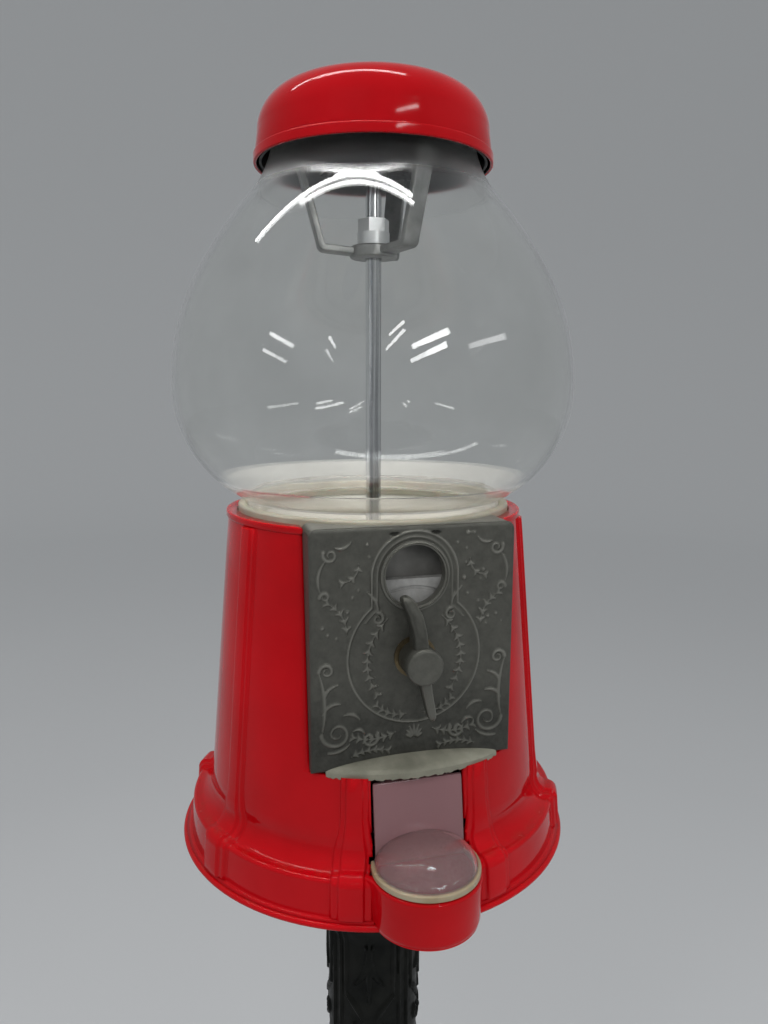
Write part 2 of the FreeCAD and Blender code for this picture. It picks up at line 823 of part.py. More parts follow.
def lid_dome(inset, bottom, band=()):
    """Solid dome with the lid's line, a set distance inside it, from a given height up."""
    skirt = lid_rim_radius - lid_band_proud - inset
    foot = band or ((skirt, bottom),)
    brow = (lid_brow[0] - inset / 2, lid_brow[1] - inset)
    return turned((0, bottom), *foot, (lid_knee[0] - inset, lid_knee[1]), (brow, lid_corner_bow),
                  ((0, lid_top - inset), lid_crown_bow))


def lock_hole():
    return bar_z(lock_radius + slip, lid_rim_z, lid_top + 1)


def lid_shell():
    """Spun dome with a proud band round its rim."""
    band_top = lid_rim_z + lid_band
    band = ((lid_rim_radius, lid_rim_z), (lid_rim_radius, band_top),
            (lid_rim_radius - lid_band_proud, band_top + lid_band_proud))
    return lid_dome(0, lid_rim_z, band).cut([lid_dome(lid_wall, lid_rim_z), lock_hole()])


def lid_liner():
    """Black moulding inside the lid, with a ring that stands on the spider bracket."""
    outer = lid_wall + slip
    bottom = lid_rim_z + liner_lift
    dome = lid_dome(outer, bottom)
    room = lid_dome(outer + liner_wall, bottom)
    seat = ring_z(liner_seat_radius, liner_seat_radius - liner_seat_band, spider_ring_top + slip, lid_top)
    shell = dome.cut(room).fuse(seat.common(dome))
    return shell.cut(lock_hole())


def lid_lock():
    """Barrel that screws down on the rod's end, with a flange on the lid and a key slot."""
    flange_z = lid_top + slip
    barrel = bar_z(lock_radius, lock_bottom, flange_z + lock_flange)
    flange = bar_z(lock_flange_radius, flange_z, flange_z + lock_flange)
    wide, long, deep = key_slot
    top = flange_z + lock_flange
    slot = block(-wide / 2, wide / 2, -long / 2, long / 2, top - deep, top)
    return barrel.fuse(flange).cut([slot, bar_z(rod_radius + slip, lock_bottom, rod_top + slip)])


# Chute and door

def chute_floor_z(reach):
    share = (reach - chute_back) / (chute_floor_front - chute_back)
    return chute_floor_back_z + share * (chute_floor_front_z - chute_floor_back_z)


def door_line(z):
    """Distance of the door's outer face in front of the middle at a height."""
    share = (door_top_z - z) / (door_top_z - cup_rim_z)
    return door_top_reach + share * (door_foot_reach - door_top_reach)


def gumball_chute():
    """Folded sheet: a shaft under the outlet that turns into a slope to the door, with ears for its pin."""
    t = chute_sheet
    top = housing_bottom - slip
    half = chute_width / 2
    bend_z = chute_floor_z(chute_front) + chute_headroom
    roof_z = chute_floor_z(hinge_reach) + chute_headroom
    nose = door_line(chute_floor_front_z) - door_thick - 2 * slip
    cheek = outline(
        side, (-chute_back, top), (-chute_front, top), (-chute_front, bend_z), (-hinge_reach, roof_z),
        (-hinge_reach - ear_radius, hinge_z), (-nose, chute_floor_front_z + 2 * t),
        (-nose, chute_floor_z(nose)), (-chute_back, chute_floor_back_z))
    ear = bar_x(ear_radius, -half - t, half + t, -hinge_reach, hinge_z)
    solid = across_x(cheek, half + t)
    room = block(-half, half, -lip_radius, 0, 0, casing_top)
    cheeks = solid.fuse(ear).cut(room)
    floor = across_x(outline(
        side, (-chute_back, chute_floor_back_z), (-nose, chute_floor_z(nose)), (-nose, chute_floor_z(nose) + t),
        (-chute_back, chute_floor_back_z + t)), half + t)
    back = block(-half - t, half + t, -chute_back, -chute_back + t, chute_floor_back_z, top)
    face = block(-half - t, half + t, -chute_front - t, -chute_front, bend_z, top)
    flanges = [block(x, x + chute_flange, -chute_front, -chute_back, top - t, top)
               for x in (-half - chute_flange, half)]
    whole = cheeks.multiFuse([floor, back, face] + flanges)
    cuts = [bar_x(hinge_pin_radius + run_gap, -half - t, half + t, -hinge_reach, hinge_z)]
    cuts += [bar_z(screw_radius + slip, top - t, top, x, -pocket_orbit) for x in (-chute_screw_x, chute_screw_x)]
    return whole.cut(cuts).removeSplitter()


def chute_screws():
    top = housing_bottom - slip
    screws = []
    for x in (-chute_screw_x, chute_screw_x):
        shank = bar_z(screw_radius, top - chute_sheet, housing_bottom, x, -pocket_orbit)
        head = bar_z(screw_head_radius, top - chute_sheet - screw_head, top - chute_sheet, x, -pocket_orbit)
        screws.append(shank.fuse(head))
    return Part.makeCompound(screws)


def half_egg(radius, rise, base_z):
    """Upper half of a flattened ball over the cup."""
    ball = Part.makeSphere(radius, Vector(), Vector(0, 0, 1), 0, 90, 360)
    matrix = FreeCAD.Matrix()
    matrix.scale(1, 1, rise / radius)
    return ball.transformGeometry(matrix).translated(Vector(0, cup_y, base_z))


def chute_door():
    """Clear flap: a flat panel hung on its pin, with a bubble that closes the cup and a flat rim."""
    half = door_width / 2
    rim_z = cup_rim_z + slip
    rim_top = rim_z + door_rim_thick
    low = door_line(rim_z)
    panel = across_x(outline(
        side, (door_thick - door_top_reach, door_top_z), (-door_top_reach, door_top_z), (-low, rim_z),
        (door_thick - low, rim_z)), half)
    ahead = across_x(outline(
        side, (door_thick / 2 - door_top_reach, door_top_z), (-2 * lip_radius, door_top_z),
        (-2 * lip_radius, rim_z), (door_thick / 2 - low, rim_z)), lip_radius)
    inner = bubble_radius - door_thick
    shell = half_egg(bubble_radius, bubble_rise, rim_top)
    room = half_egg(inner, bubble_rise - door_thick, rim_top)
    rim = bar_z(inner + door_rim_width, rim_z, rim_top, 0, cup_y)
    mouth = bar_z(inner, rim_z, rim_top, 0, cup_y)
    dome = shell.fuse(rim).common(ahead)
    knuckle = bar_x(knuckle_radius, -chute_width / 2 + slip, chute_width / 2 - slip, -hinge_reach, hinge_z)
    arm = block(-chute_width / 2 + slip, chute_width / 2 - slip, -door_top_reach + door_thick / 2, -hinge_reach,
                hinge_z - door_thick / 2, hinge_z + door_thick / 2)
    whole = panel.multiFuse([dome, knuckle, arm])
    cuts = [room, mouth, bar_x(hinge_pin_radius + snug, -half, half, -hinge_reach, hinge_z)]
    return whole.cut(cuts)


def door_pin():
    half = chute_width / 2 + chute_sheet + 3 * slip
    return bar_x(hinge_pin_radius, -half, half, -hinge_reach, hinge_z)


# Stand

def stand_bolt_spots():
    step = 360 / stand_bolt_count
    return [spot(stand_bolt_orbit, step * (i + 0.5)) for i in range(stand_bolt_count)]


def stand_flange():
    disc = bar_z(stand_flange_radius, stand_flange_bottom, base_lift)
    cuts = [bar_z(rod_radius + slip, stand_flange_bottom, base_lift)]
    cuts += [bar_z(stand_bolt_radius + slip, stand_flange_bottom, base_lift, x, y) for x, y in stand_bolt_spots()]
    return disc.cut(cuts)


def stand_bolts():
    bolts = []
    for x, y in stand_bolt_spots():
        shank = bar_z(stand_bolt_radius, stand_flange_bottom - stand_nut_height - 1, base_top_z, x, y)
        head = hexagon_z(stand_nut_across, base_top_z, base_top_z + stand_nut_height - 1, x, y)
        bolts.append(shank.fuse(head))
    return Part.makeCompound(bolts)


def stand_nuts():
    nuts = []
    for x, y in stand_bolt_spots():
        nut = hexagon_z(stand_nut_across, stand_flange_bottom - stand_nut_height, stand_flange_bottom, x, y)
        nuts.append(nut.cut(bar_z(stand_bolt_radius + snug, stand_flange_bottom - stand_nut_height,
                                  stand_flange_bottom, x, y)))
    return Part.makeCompound(nuts)


def stand_column():
    """Cast column: a moulded head, a fluted vase, a slim fluted shaft and a spreading foot."""
    top = column_top
    vase_top = top - column_vase_top
    vase_foot = top - column_vase_bottom
    ring = vase_foot - column_ring_drop
    shaft_top = ring - column_ring_run
    foot_ring = column_bottom + column_foot_ring_z
    shaft_foot = foot_ring + column_foot_run
    belly = column_vase_radius
    foot_edge = column_shaft_foot_radius + column_foot_ring_proud - column_ring_edge
    ring_edge = column_ring_radius - column_ring_edge
    ring_bow = column_ring_edge / (2 * column_ring_half)
    body = turned(
        (0, column_bottom), (column_foot_radius, column_bottom),
        ((column_shaft_foot_radius, foot_ring - column_foot_run), column_hollow),
        (foot_edge, foot_ring - column_ring_half), ((foot_edge, foot_ring + column_ring_half), ring_bow),
        (column_shaft_foot_radius, shaft_foot), (column_shaft_top_radius, shaft_top),
        (ring_edge, ring - column_ring_half), ((ring_edge, ring + column_ring_half), ring_bow),
        (column_waist_radius, ring + column_foot_run), ((belly, vase_foot), column_swell),
        (belly, vase_top), ((column_neck_radius, top - column_neck_drop), column_swell),
        ((column_head_radius, top - column_lip), column_hollow), (column_head_radius, top), (0, top))
    cuts = [bar_z(column_bore, column_bottom, top), bar_z(column_socket, top - coupling_length - column_lip, top)]
    vase_y = -(belly + vase_flute_radius - vase_flute_depth)
    high_y = -(column_shaft_top_radius + shaft_flute_radius - shaft_flute_depth)
    low_y = -(column_shaft_foot_radius + shaft_flute_radius - shaft_flute_depth)
    vase_groove = capsule(vase_flute_radius, Vector(0, vase_y, vase_foot), Vector(0, vase_y, vase_top))
    shaft_groove = capsule(shaft_flute_radius, Vector(0, low_y, shaft_foot + column_flute_ends),
                           Vector(0, high_y, shaft_top - column_flute_ends))
    for i in range(column_flutes):
        turn = 360 * (i + 0.5) / column_flutes
        cuts += [around(vase_groove, turn), around(shaft_groove, turn)]
    return body.cut(cuts)


def base_line(inset, top):
    """Solid with the line of the base's bell and tread, a set distance inside it, below a given height."""
    floor = -stand_height
    high = column_bottom - inset
    return turned(
        (0, floor), (base_radius - inset, floor), (base_radius - inset, floor + base_rim),
        ((base_tread_radius - inset / 2, high - base_tread_drop), base_rim_bow),
        ((base_bell_radius - inset, high - base_bell_drop), base_tread_bow),
        ((column_foot_radius - inset / 2, top), base_bell_bow), (0, top))


def stand_base():
    """Round cast base: a bell that spreads to a scalloped rim, hollow below, with a seat for the tie rod."""
    seat = column_bottom - 2 * base_wall
    cuts = [base_line(base_wall, seat), bar_z(tie_radius + slip, seat, column_bottom)]
    rim_y = -(base_radius + base_scallop_radius - base_scallop_depth)
    notch = bar_z(base_scallop_radius, -stand_height, column_bottom, 0, rim_y)
    cuts += [around(notch, 360 * (i + 0.5) / base_scallops) for i in range(base_scallops)]
    return base_line(0, column_bottom).cut(cuts)


def tie_rod():
    return bar_z(tie_radius, column_bottom - 2 * base_wall - 2 * nut_height, rod_bottom - slip)


def tie_nut():
    top = column_bottom - 2 * base_wall
    return hexagon_z(coupling_across, top - nut_height, top).cut(bar_z(tie_radius + snug, top - nut_height, top))


def rod_coupling():
    top = stand_flange_bottom - slip
    bottom = top - coupling_length
    body = hexagon_z(coupling_across, bottom, top)
    return body.cut([bar_z(rod_radius + snug, rod_bottom, top), bar_z(tie_radius + snug, bottom, rod_bottom)])


pieces = {
    "body_casing": body_casing, "bottom_plate": bottom_plate, "bottom_screws": bottom_screws,
    "coin_plate": coin_plate, "backing_plate": backing_plate, "plate_posts": plate_posts,
    "plate_screws": plate_screws, "shaft_bush": shaft_bush, "coin_wheel": coin_wheel,
    "drive_shaft": drive_shaft, "handle_washer": handle_washer, "shaft_clip": shaft_clip,
    "turn_handle": turn_handle, "drive_pinion": drive_pinion, "crown_gear": crown_gear,
    "gumball_wheel": gumball_wheel, "wheel_bush": wheel_bush, "wheel_housing": wheel_housing, "hopper": hopper,
    "strike_plate": strike_plate, "glass_globe": glass_globe, "globe_seat": globe_seat,
    "mouth_gasket": mouth_gasket, "spider_bracket": spider_bracket, "rod_collar": rod_collar,
    "rod_nut": rod_nut, "centre_rod": centre_rod, "lid_shell": lid_shell, "lid_liner": lid_liner,
    "lid_lock": lid_lock, "gumball_chute": gumball_chute, "chute_screws": chute_screws,
    "chute_door": chute_door, "door_pin": door_pin, "stand_flange": stand_flange,
    "stand_bolts": stand_bolts, "stand_nuts": stand_nuts, "stand_column": stand_column,
    "stand_base": stand_base, "tie_rod": tie_rod, "tie_nut": tie_nut, "rod_coupling": rod_coupling,
}

for name, make in pieces.items():
    shape = make()
    print(name, len(shape.Solids), shape.isValid(), round(shape.Volume))
    shape.translated(Vector(0, 0, stand_height)).exportStep("parts/" + name + ".step")
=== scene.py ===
import json
import math

import bmesh
import bpy
import numpy as np
from mathutils import Matrix, Vector


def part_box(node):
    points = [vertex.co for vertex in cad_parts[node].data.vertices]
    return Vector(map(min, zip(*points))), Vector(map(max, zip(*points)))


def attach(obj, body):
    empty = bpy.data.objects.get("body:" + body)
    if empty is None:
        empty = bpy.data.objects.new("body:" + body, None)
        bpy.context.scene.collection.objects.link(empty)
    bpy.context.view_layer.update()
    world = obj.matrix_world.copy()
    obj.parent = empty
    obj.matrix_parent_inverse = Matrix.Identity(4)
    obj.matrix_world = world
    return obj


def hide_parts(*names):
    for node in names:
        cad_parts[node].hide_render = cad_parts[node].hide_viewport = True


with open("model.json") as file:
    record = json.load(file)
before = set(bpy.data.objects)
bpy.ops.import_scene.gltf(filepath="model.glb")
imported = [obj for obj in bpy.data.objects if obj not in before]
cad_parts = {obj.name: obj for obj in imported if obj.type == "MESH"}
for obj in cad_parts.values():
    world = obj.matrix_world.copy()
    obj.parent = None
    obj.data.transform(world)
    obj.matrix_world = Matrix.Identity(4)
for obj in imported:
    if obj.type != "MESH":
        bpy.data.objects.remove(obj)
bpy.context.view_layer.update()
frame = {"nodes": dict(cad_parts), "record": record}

mm = 0.001
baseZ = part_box("body_casing")[0].z      # underside of the machine, on its stand
quarter = (math.sqrt(2) - 1) / 2        # height over chord of a quarter circle
halfRound = 0.5
rng = np.random.default_rng(15)

scene = bpy.context.scene
scene.view_settings.view_transform = "Standard"


# Shaders

look = {}       # every finish by its name


def newShader(name, **constants):
    look[name] = bpy.data.materials.new(name)
    look[name].use_nodes = True
    tree = look[name].node_tree
    for socket, value in constants.items():
        tree.nodes["Principled BSDF"].inputs[socket.replace("_", " ")].default_value = value
    return tree


def wire(tree, **outputs):
    for socket, output in outputs.items():
        tree.links.new(output, tree.nodes["Principled BSDF"].inputs[socket.replace("_", " ")])


def addNode(tree, kind, settings=None, **inputs):
    made = tree.nodes.new("ShaderNode" + kind)
    for key, value in (settings or {}).items():
        setattr(made, key, value)
    for key, value in inputs.items():
        socket = made.inputs[int(key[1:]) if key[1:].isdigit() else key]
        if isinstance(value, bpy.types.NodeSocket):
            tree.links.new(value, socket)
        else:
            socket.default_value = value
    return made


def placeOn(tree):
    return addNode(tree, "TexCoord").outputs["Object"]


def noiseOf(tree, scale, detail=4.0, roughness=0.55, stretch=None):
    place = placeOn(tree)
    if stretch:
        place = addNode(tree, "Mapping", Vector=place, Scale=stretch).outputs[0]
    return addNode(tree, "TexNoise", Vector=place, Scale=scale, Detail=detail, Roughness=roughness).outputs[0]


def ranged(tree, value, low, high, toLow=0.0, toHigh=1.0):
    made = addNode(tree, "MapRange", {"clamp": True}, i0=value, i1=low, i2=high, i3=toLow, i4=toHigh)
    return made.outputs[0]


def calc(tree, operation, *values):
    inputs = {f"i{index}": value for index, value in enumerate(values)}
    return addNode(tree, "Math", {"operation": operation}, **inputs).outputs[0]


def upPart(tree, vector):
    return addNode(tree, "SeparateXYZ", i0=vector).outputs[2]


def mixed(tree, share, first, second, blend="MIX"):
    first, second = ((*color, 1.0) if isinstance(color, tuple) else color for color in (first, second))
    made = addNode(tree, "Mix", {"data_type": "RGBA", "blend_type": blend}, i0=share, i6=first, i7=second)
    return made.outputs[2]


def bumped(tree, height, depth, strength):
    return addNode(tree, "Bump", Height=height, Distance=depth * mm, Strength=strength).outputs[0]


# Two tones over a few millimetres, a roughness of finer grain, and a cast or moulded bump
def castFinish(name, low, high, toneScale, rough, grainScale, bumpDepth, bumpScale, stretch=None, **sockets):
    tree = newShader(name, **sockets)
    tone = ranged(tree, noiseOf(tree, toneScale, stretch=stretch), 0.35, 0.68)
    grain = ranged(tree, noiseOf(tree, grainScale, stretch=stretch), 0.3, 0.7, *rough)
    pits = bumped(tree, noiseOf(tree, bumpScale, 6.0, stretch=stretch), bumpDepth, 0.6)
    wire(tree, Base_Color=mixed(tree, tone, low, high), Roughness=grain, Normal=pits)


enamel = {"low": (0.355, 0.0012, 0.0035), "high": (0.44, 0.0018, 0.0055), "dust": (0.14, 0.035, 0.018)}


# Gloss enamel: slow change of tone, a faint orange peel, and dust that settles on faces that look up
def redEnamel():
    tree = newShader("redEnamel", Specular_IOR_Level=0.17)
    paint = mixed(tree, ranged(tree, noiseOf(tree, 18.0), 0.35, 0.7), enamel["low"], enamel["high"])
    lying = ranged(tree, upPart(tree, addNode(tree, "NewGeometry").outputs["Normal"]), 0.72, 0.98)
    spots = ranged(tree, noiseOf(tree, 140.0, 8.0, 0.65), 0.44, 0.78, 0.0, 0.34)
    dusty = calc(tree, "MULTIPLY", lying, spots)
    wire(tree, Base_Color=mixed(tree, dusty, paint, enamel["dust"]),
         Roughness=ranged(tree, dusty, 0.0, 0.4, 0.09, 0.5),
         Normal=bumped(tree, noiseOf(tree, 420.0, 2.0), 0.06, 0.25))


antique = {"low": (0.019, 0.019, 0.0155), "high": (0.108, 0.107, 0.092), "worn": (0.24, 0.237, 0.21)}


# Antiqued casting: the relief attribute is dark in the hollows, grey on the faces and bare on the crests; on
# the turn handle it also carries painted highlight
def pewter():
    tree = newShader("pewter", Metallic=0.55)
    relief = addNode(tree, "Attribute", {"attribute_name": "relief"}).outputs["Fac"]
    grit = noiseOf(tree, 260.0, 8.0, 0.7)
    wash = ranged(tree, calc(tree, "MULTIPLY_ADD", grit, 0.5, relief), 0.28, 0.75)
    crest = ranged(tree, calc(tree, "MULTIPLY_ADD", noiseOf(tree, 35.0), 0.35, relief), 0.72, 1.15, 0.0, 0.85)
    face = mixed(tree, wash, antique["low"], antique["high"])
    wire(tree, Base_Color=mixed(tree, crest, face, antique["worn"]),
         Roughness=ranged(tree, grit, 0.3, 0.7, 0.36, 0.56),
         Normal=bumped(tree, noiseOf(tree, 700.0, 6.0, 0.7), 0.25, 0.45))


# Clear wall: almost no colour, a few soft smears, and haze that grows between two heights where hands rub it
def clearWall(name, tint, smear, ior, clear=1.0, haze=0.0, rubbed=None):
    tree = newShader(name, Transmission_Weight=clear, IOR=ior)
    cloud = ranged(tree, noiseOf(tree, 22.0, 5.0, 0.6), 0.35, 0.7, 0.94, 1.0)
    smears = ranged(tree, noiseOf(tree, 26.0, 6.0, 0.6), 0.5, 0.8, haze, haze + smear)
    if rubbed:
        low, high, most = rubbed
        worn = ranged(tree, upPart(tree, placeOn(tree)), baseZ + low * mm, baseZ + high * mm, 0.0, most)
        smears = calc(tree, "ADD", smears, worn)
    wire(tree, Base_Color=mixed(tree, 1.0, tint, cloud, "MULTIPLY"), Roughness=smears)


# The lock's inside colour is painted shade under the lid
lock = {"edge": 379.0, "blend": 0.6, "inside": (0.010, 0.010, 0.009), "low": (0.60, 0.61, 0.62),
        "high": (0.78, 0.78, 0.78)}


# Lock: bright on top of the lid, near black as painted shade where its barrel hangs inside
def lockSteel():
    tree = newShader("lockSteel", Specular_IOR_Level=0.0)
    edge = baseZ + lock["edge"] * mm
    isOut = ranged(tree, upPart(tree, placeOn(tree)), edge, edge + lock["blend"] * mm)
    bright = mixed(tree, ranged(tree, noiseOf(tree, 300.0), 0.3, 0.7), lock["low"], lock["high"])
    wire(tree, Base_Color=mixed(tree, isOut, lock["inside"], bright), Metallic=isOut,
         Roughness=ranged(tree, noiseOf(tree, 500.0), 0.3, 0.7, 0.16, 0.34))


redEnamel()
pewter()
lockSteel()
clearWall("globeGlass", (0.985, 0.992, 0.98), 0.10, 1.38, rubbed=(326.0, 333.0, 0.36))
clearWall("neckGlass", (0.90, 0.88, 0.83), 0.12, 1.2, 0.82, 0.06)
# Painted reflection: the door's pink tints stand for the red casing reflected in its clear plastic
clearWall("doorSheet", (0.50, 0.27, 0.285), 0.20, 1.30, 0.62, 0.06)
clearWall("doorBubble", (0.88, 0.63, 0.63), 0.10, 1.32, 0.90)
# Dark steel for the backing plate: partly its own steel and partly painted shade of the gap behind the coin
# carrier
castFinish("darkSteel", (0.085, 0.083, 0.076), (0.15, 0.147, 0.137), 60.0, (0.4, 0.6), 400.0, 0.06, 700.0,
           Metallic=0.3, Specular_IOR_Level=0.3)
castFinish("coinCarrier", (0.20, 0.197, 0.188), (0.34, 0.335, 0.32), 130.0, (0.36, 0.55), 500.0, 0.08, 800.0,
           Metallic=0.35)
castFinish("brightZinc", (0.56, 0.575, 0.58), (0.66, 0.67, 0.67), 40.0, (0.34, 0.44), 300.0, 0.01, 400.0,
           Metallic=0.7)
# Painted light: a paler copy of the cream plastic for the hopper, lit brighter than the rest of the cream
# plastic
castFinish("creamPaintedLight", (0.56, 0.54, 0.475), (0.66, 0.645, 0.59), 38.0, (0.36, 0.52), 300.0, 0.05, 500.0)
castFinish("sillMetal", (0.20, 0.195, 0.15), (0.31, 0.302, 0.238), 70.0, (0.42, 0.62), 300.0, 0.25, 500.0,
           Metallic=0.45)
castFinish("coinSteel", (0.27, 0.275, 0.28), (0.42, 0.425, 0.43), 60.0, (0.30, 0.48), 500.0, 0.06, 900.0,
           Metallic=0.85)
castFinish("zinc", (0.19, 0.193, 0.188), (0.31, 0.314, 0.305), 70.0, (0.34, 0.52), 420.0, 0.12, 650.0,
           Metallic=0.75)
# Chrome: long light and dark streaks up the rod, partly drawn marks in the metal and partly painted reflection
# of the surroundings
castFinish("chrome", (0.26, 0.27, 0.29), (0.95, 0.96, 0.97), 420.0, (0.05, 0.16), 500.0, 0.02, 900.0,
           stretch=(1, 1, 0.012), Metallic=1.0)
castFinish("brass", (0.11, 0.085, 0.05), (0.22, 0.17, 0.095), 160.0, (0.28, 0.46), 500.0, 0.05, 900.0,
           Metallic=0.9)
castFinish("creamPlastic", (0.285, 0.265, 0.20), (0.375, 0.355, 0.29), 38.0, (0.36, 0.52), 300.0, 0.05, 500.0,
           Subsurface_Weight=0.15, Subsurface_Scale=0.004)
castFinish("blackPlastic", (0.005, 0.005, 0.005), (0.012, 0.0115, 0.011), 60.0, (0.34, 0.55), 260.0, 0.05,
           600.0, Specular_IOR_Level=0.2)
castFinish("blackRubber", (0.010, 0.010, 0.010), (0.024, 0.023, 0.022), 120.0, (0.6, 0.8), 300.0, 0.08, 700.0,
           Specular_IOR_Level=0.2)
castFinish("blackIron", (0.0035, 0.004, 0.0035), (0.010, 0.0105, 0.009), 55.0, (0.30, 0.52), 240.0, 0.22,
           330.0, Specular_IOR_Level=0.08)
castFinish("agedRim", (0.25, 0.20, 0.12), (0.34, 0.29, 0.20), 60.0, (0.14, 0.30), 300.0, 0.02, 300.0,
           Subsurface_Weight=0.2, Subsurface_Scale=0.003)

slotLooks = {"red_enamel": "redEnamel", "pewter": "pewter", "coin_steel": "coinSteel", "chrome": "chrome",
             "zinc": "zinc", "brass": "brass", "globe_glass": "globeGlass", "clear_plastic": "doorSheet",
             "cream_plastic": "creamPlastic", "black_plastic": "blackPlastic", "black_rubber": "blackRubber",
             "black_iron": "blackIron"}
nodeLooks = {"lid_lock": "lockSteel", "backing_plate": "darkSteel", "rod_nut": "brightZinc",
             "rod_collar": "brightZinc", "hopper": "creamPaintedLight"}
slotOfNode = {part["node"]: part["material_slot"] for part in frame["record"]["subparts"]}
for nodeName, nodeObject in frame["nodes"].items():
    nodeObject.data.materials.clear()
    nodeObject.data.materials.append(look[nodeLooks.get(nodeName, slotLooks[slotOfNode[nodeName]])])
print("shaders on", len(frame["nodes"]), "frame nodes")


# Mesh helpers

# Quads between the points of a grid with that many rows and columns, closed on itself where asked
def gridFaces(rows, cols, wrapCols=False, wrapRows=False):
    row, col = np.meshgrid(np.arange(rows - (not wrapRows)), np.arange(cols - (not wrapCols)), indexing="ij")
    nextRow, nextCol = (row + 1) % rows, (col + 1) % cols
    corners = (row * cols + col, row * cols + nextCol, nextRow * cols + nextCol, nextRow * cols + col)
    return np.stack(corners, -1).reshape(-1, 4)


# One object from points in millimetres above the machine's underside, and from quads
# A patch is a mask of faces and their own look
def addPiece(name, points, faces, slotName, body="machine", replaces=(), lookName=None, sharp=38.0,
             relief=None, patch=None):
    mesh = bpy.data.meshes.new(name)
    place = np.asarray(points, float).reshape(-1, 3) * mm + np.array([0, 0, baseZ])
    mesh.from_pydata(place.tolist(), [], np.asarray(faces).tolist())
    mesh.materials.append(look[lookName or slotLooks[slotName]])
    if relief is not None:
        layer = mesh.attributes.new("relief", "FLOAT", "POINT")
        layer.data.foreach_set("value", np.asarray(relief, np.float32).ravel())
    if patch:
        mesh.materials.append(look[patch[1]])
        mesh.polygons.foreach_set("material_index", np.asarray(patch[0], np.int32))
    work = bmesh.new()
    work.from_mesh(mesh)
    bmesh.ops.remove_doubles(work, verts=work.verts, dist=0.002 * mm)
    work.to_mesh(mesh)
    work.free()
    mesh.polygons.foreach_set("use_smooth", np.ones(len(mesh.polygons), bool))
    mesh.set_sharp_from_angle(angle=math.radians(sharp))
    made = bpy.data.objects.new(name, mesh)
    scene.collection.objects.link(made)
    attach(made, body)
    if replaces:
        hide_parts(*replaces)
    return made


def addWall(piece, thickness):
    wall = piece.modifiers.new("wall", "SOLIDIFY")
    wall.thickness = thickness * mm
    wall.offset = -1.0


# Several grids as one set of points and faces
def joinGrids(*grids):
    points = [np.asarray(gridPoints, float).reshape(-1, 3) for gridPoints, quads in grids]
    counts = np.cumsum([0] + [len(flat) for flat in points])
    return np.concatenate(points), np.concatenate([quads + count for (_, quads), count in zip(grids, counts)])


def faceMiddles(points, faces):
    return points.reshape(-1, 3)[faces].mean(1)


# Corners joined by straight runs; a pair is an arc's end and its height over its chord, plus to the right
def profilePath(start, *steps, arcPoints=9):
    runs = [np.array([start], float)]
    here = np.array(start, float)
    for step in steps:
        bowed = isinstance(step[0], tuple)
        end = np.array(step[0] if bowed else step, float)
        chord = end - here
        along, aside = np.array([1.0]), np.zeros(1)
        if bowed:
            turn = 2 * math.atan(2 * abs(step[1]))
            angle = turn * np.linspace(-1, 1, arcPoints + 1)[1:]
            along = 0.5 + np.sin(angle) / (2 * math.sin(turn))
            aside = math.copysign(1, step[1]) * (np.cos(angle) - math.cos(turn)) / (2 * math.sin(turn))
        right = np.array([chord[1], -chord[0]])
        runs.append(here + along[:, None] * chord + aside[:, None] * right)
        here = end
    return np.concatenate(runs)


def roundAngles(count):
    return np.linspace(0, 2 * np.pi, count, endpoint=False)


# Places round the machine's axis: azimuth 0 is the front, plus goes to +X
def roundPoints(radius, azimuth, height, centreY=0.0):
    return np.stack([radius * np.sin(azimuth), centreY - radius * np.cos(azimuth), height + 0 * azimuth], -1)


# Profile of radius and height turned about an upright axis
def turnedGrid(profile, segments, centreY=0.0, closed=False):
    points = roundPoints(profile[:, :1], roundAngles(segments), profile[:, 1:], centreY)
    return points, gridFaces(len(profile), segments, True, closed)


# Profile of radius and depth turned about a line along Y: depth is counted towards the front
def facedGrid(profile, z, segments, closed=False):
    angle = roundAngles(segments)
    radius, depth = profile[:, :1], profile[:, 1:]
    points = np.stack([radius * np.cos(angle), -depth + 0 * angle, z + radius * np.sin(angle)], -1)
    return points, gridFaces(len(profile), segments, True, closed)


# Closed loop round a box: quarter circles about the corners of a smaller core
def roundedLoop(halfWide, halfDeep, rounding, points=6):
    angle = np.concatenate([np.linspace(q, q + 1, points) * np.pi / 2 for q in range(4)])
    corner = np.repeat(np.array([[1, 1], [-1, 1], [-1, -1], [1, -1]], float), points, 0)
    core = np.array([halfWide - rounding, halfDeep - rounding])
    return corner * core + rounding * np.stack([np.cos(angle), np.sin(angle)], -1)


# Closed loops carried along a path, each laid out by an across and a depth direction, with closed ends
def sweptGrid(places, across, depth, loops):
    across, depth = (np.broadcast_to(way, places.shape)[:, None, :] for way in (across, depth))
    points = places[:, None, :] + loops[..., :1] * across + loops[..., 1:] * depth
    ends = points[[0, -1]].mean(1, keepdims=True) + 0 * points[[0, -1]]
    points = np.concatenate([ends[:1], points, ends[1:]])
    return points, gridFaces(*points.shape[:2], True)


def smoothStep(low, high, value):
    share = np.clip((value - low) / (high - low), 0, 1)
    return share * share * (3 - 2 * share)


toRight, toBack, upwards = np.eye(3)


# Casing

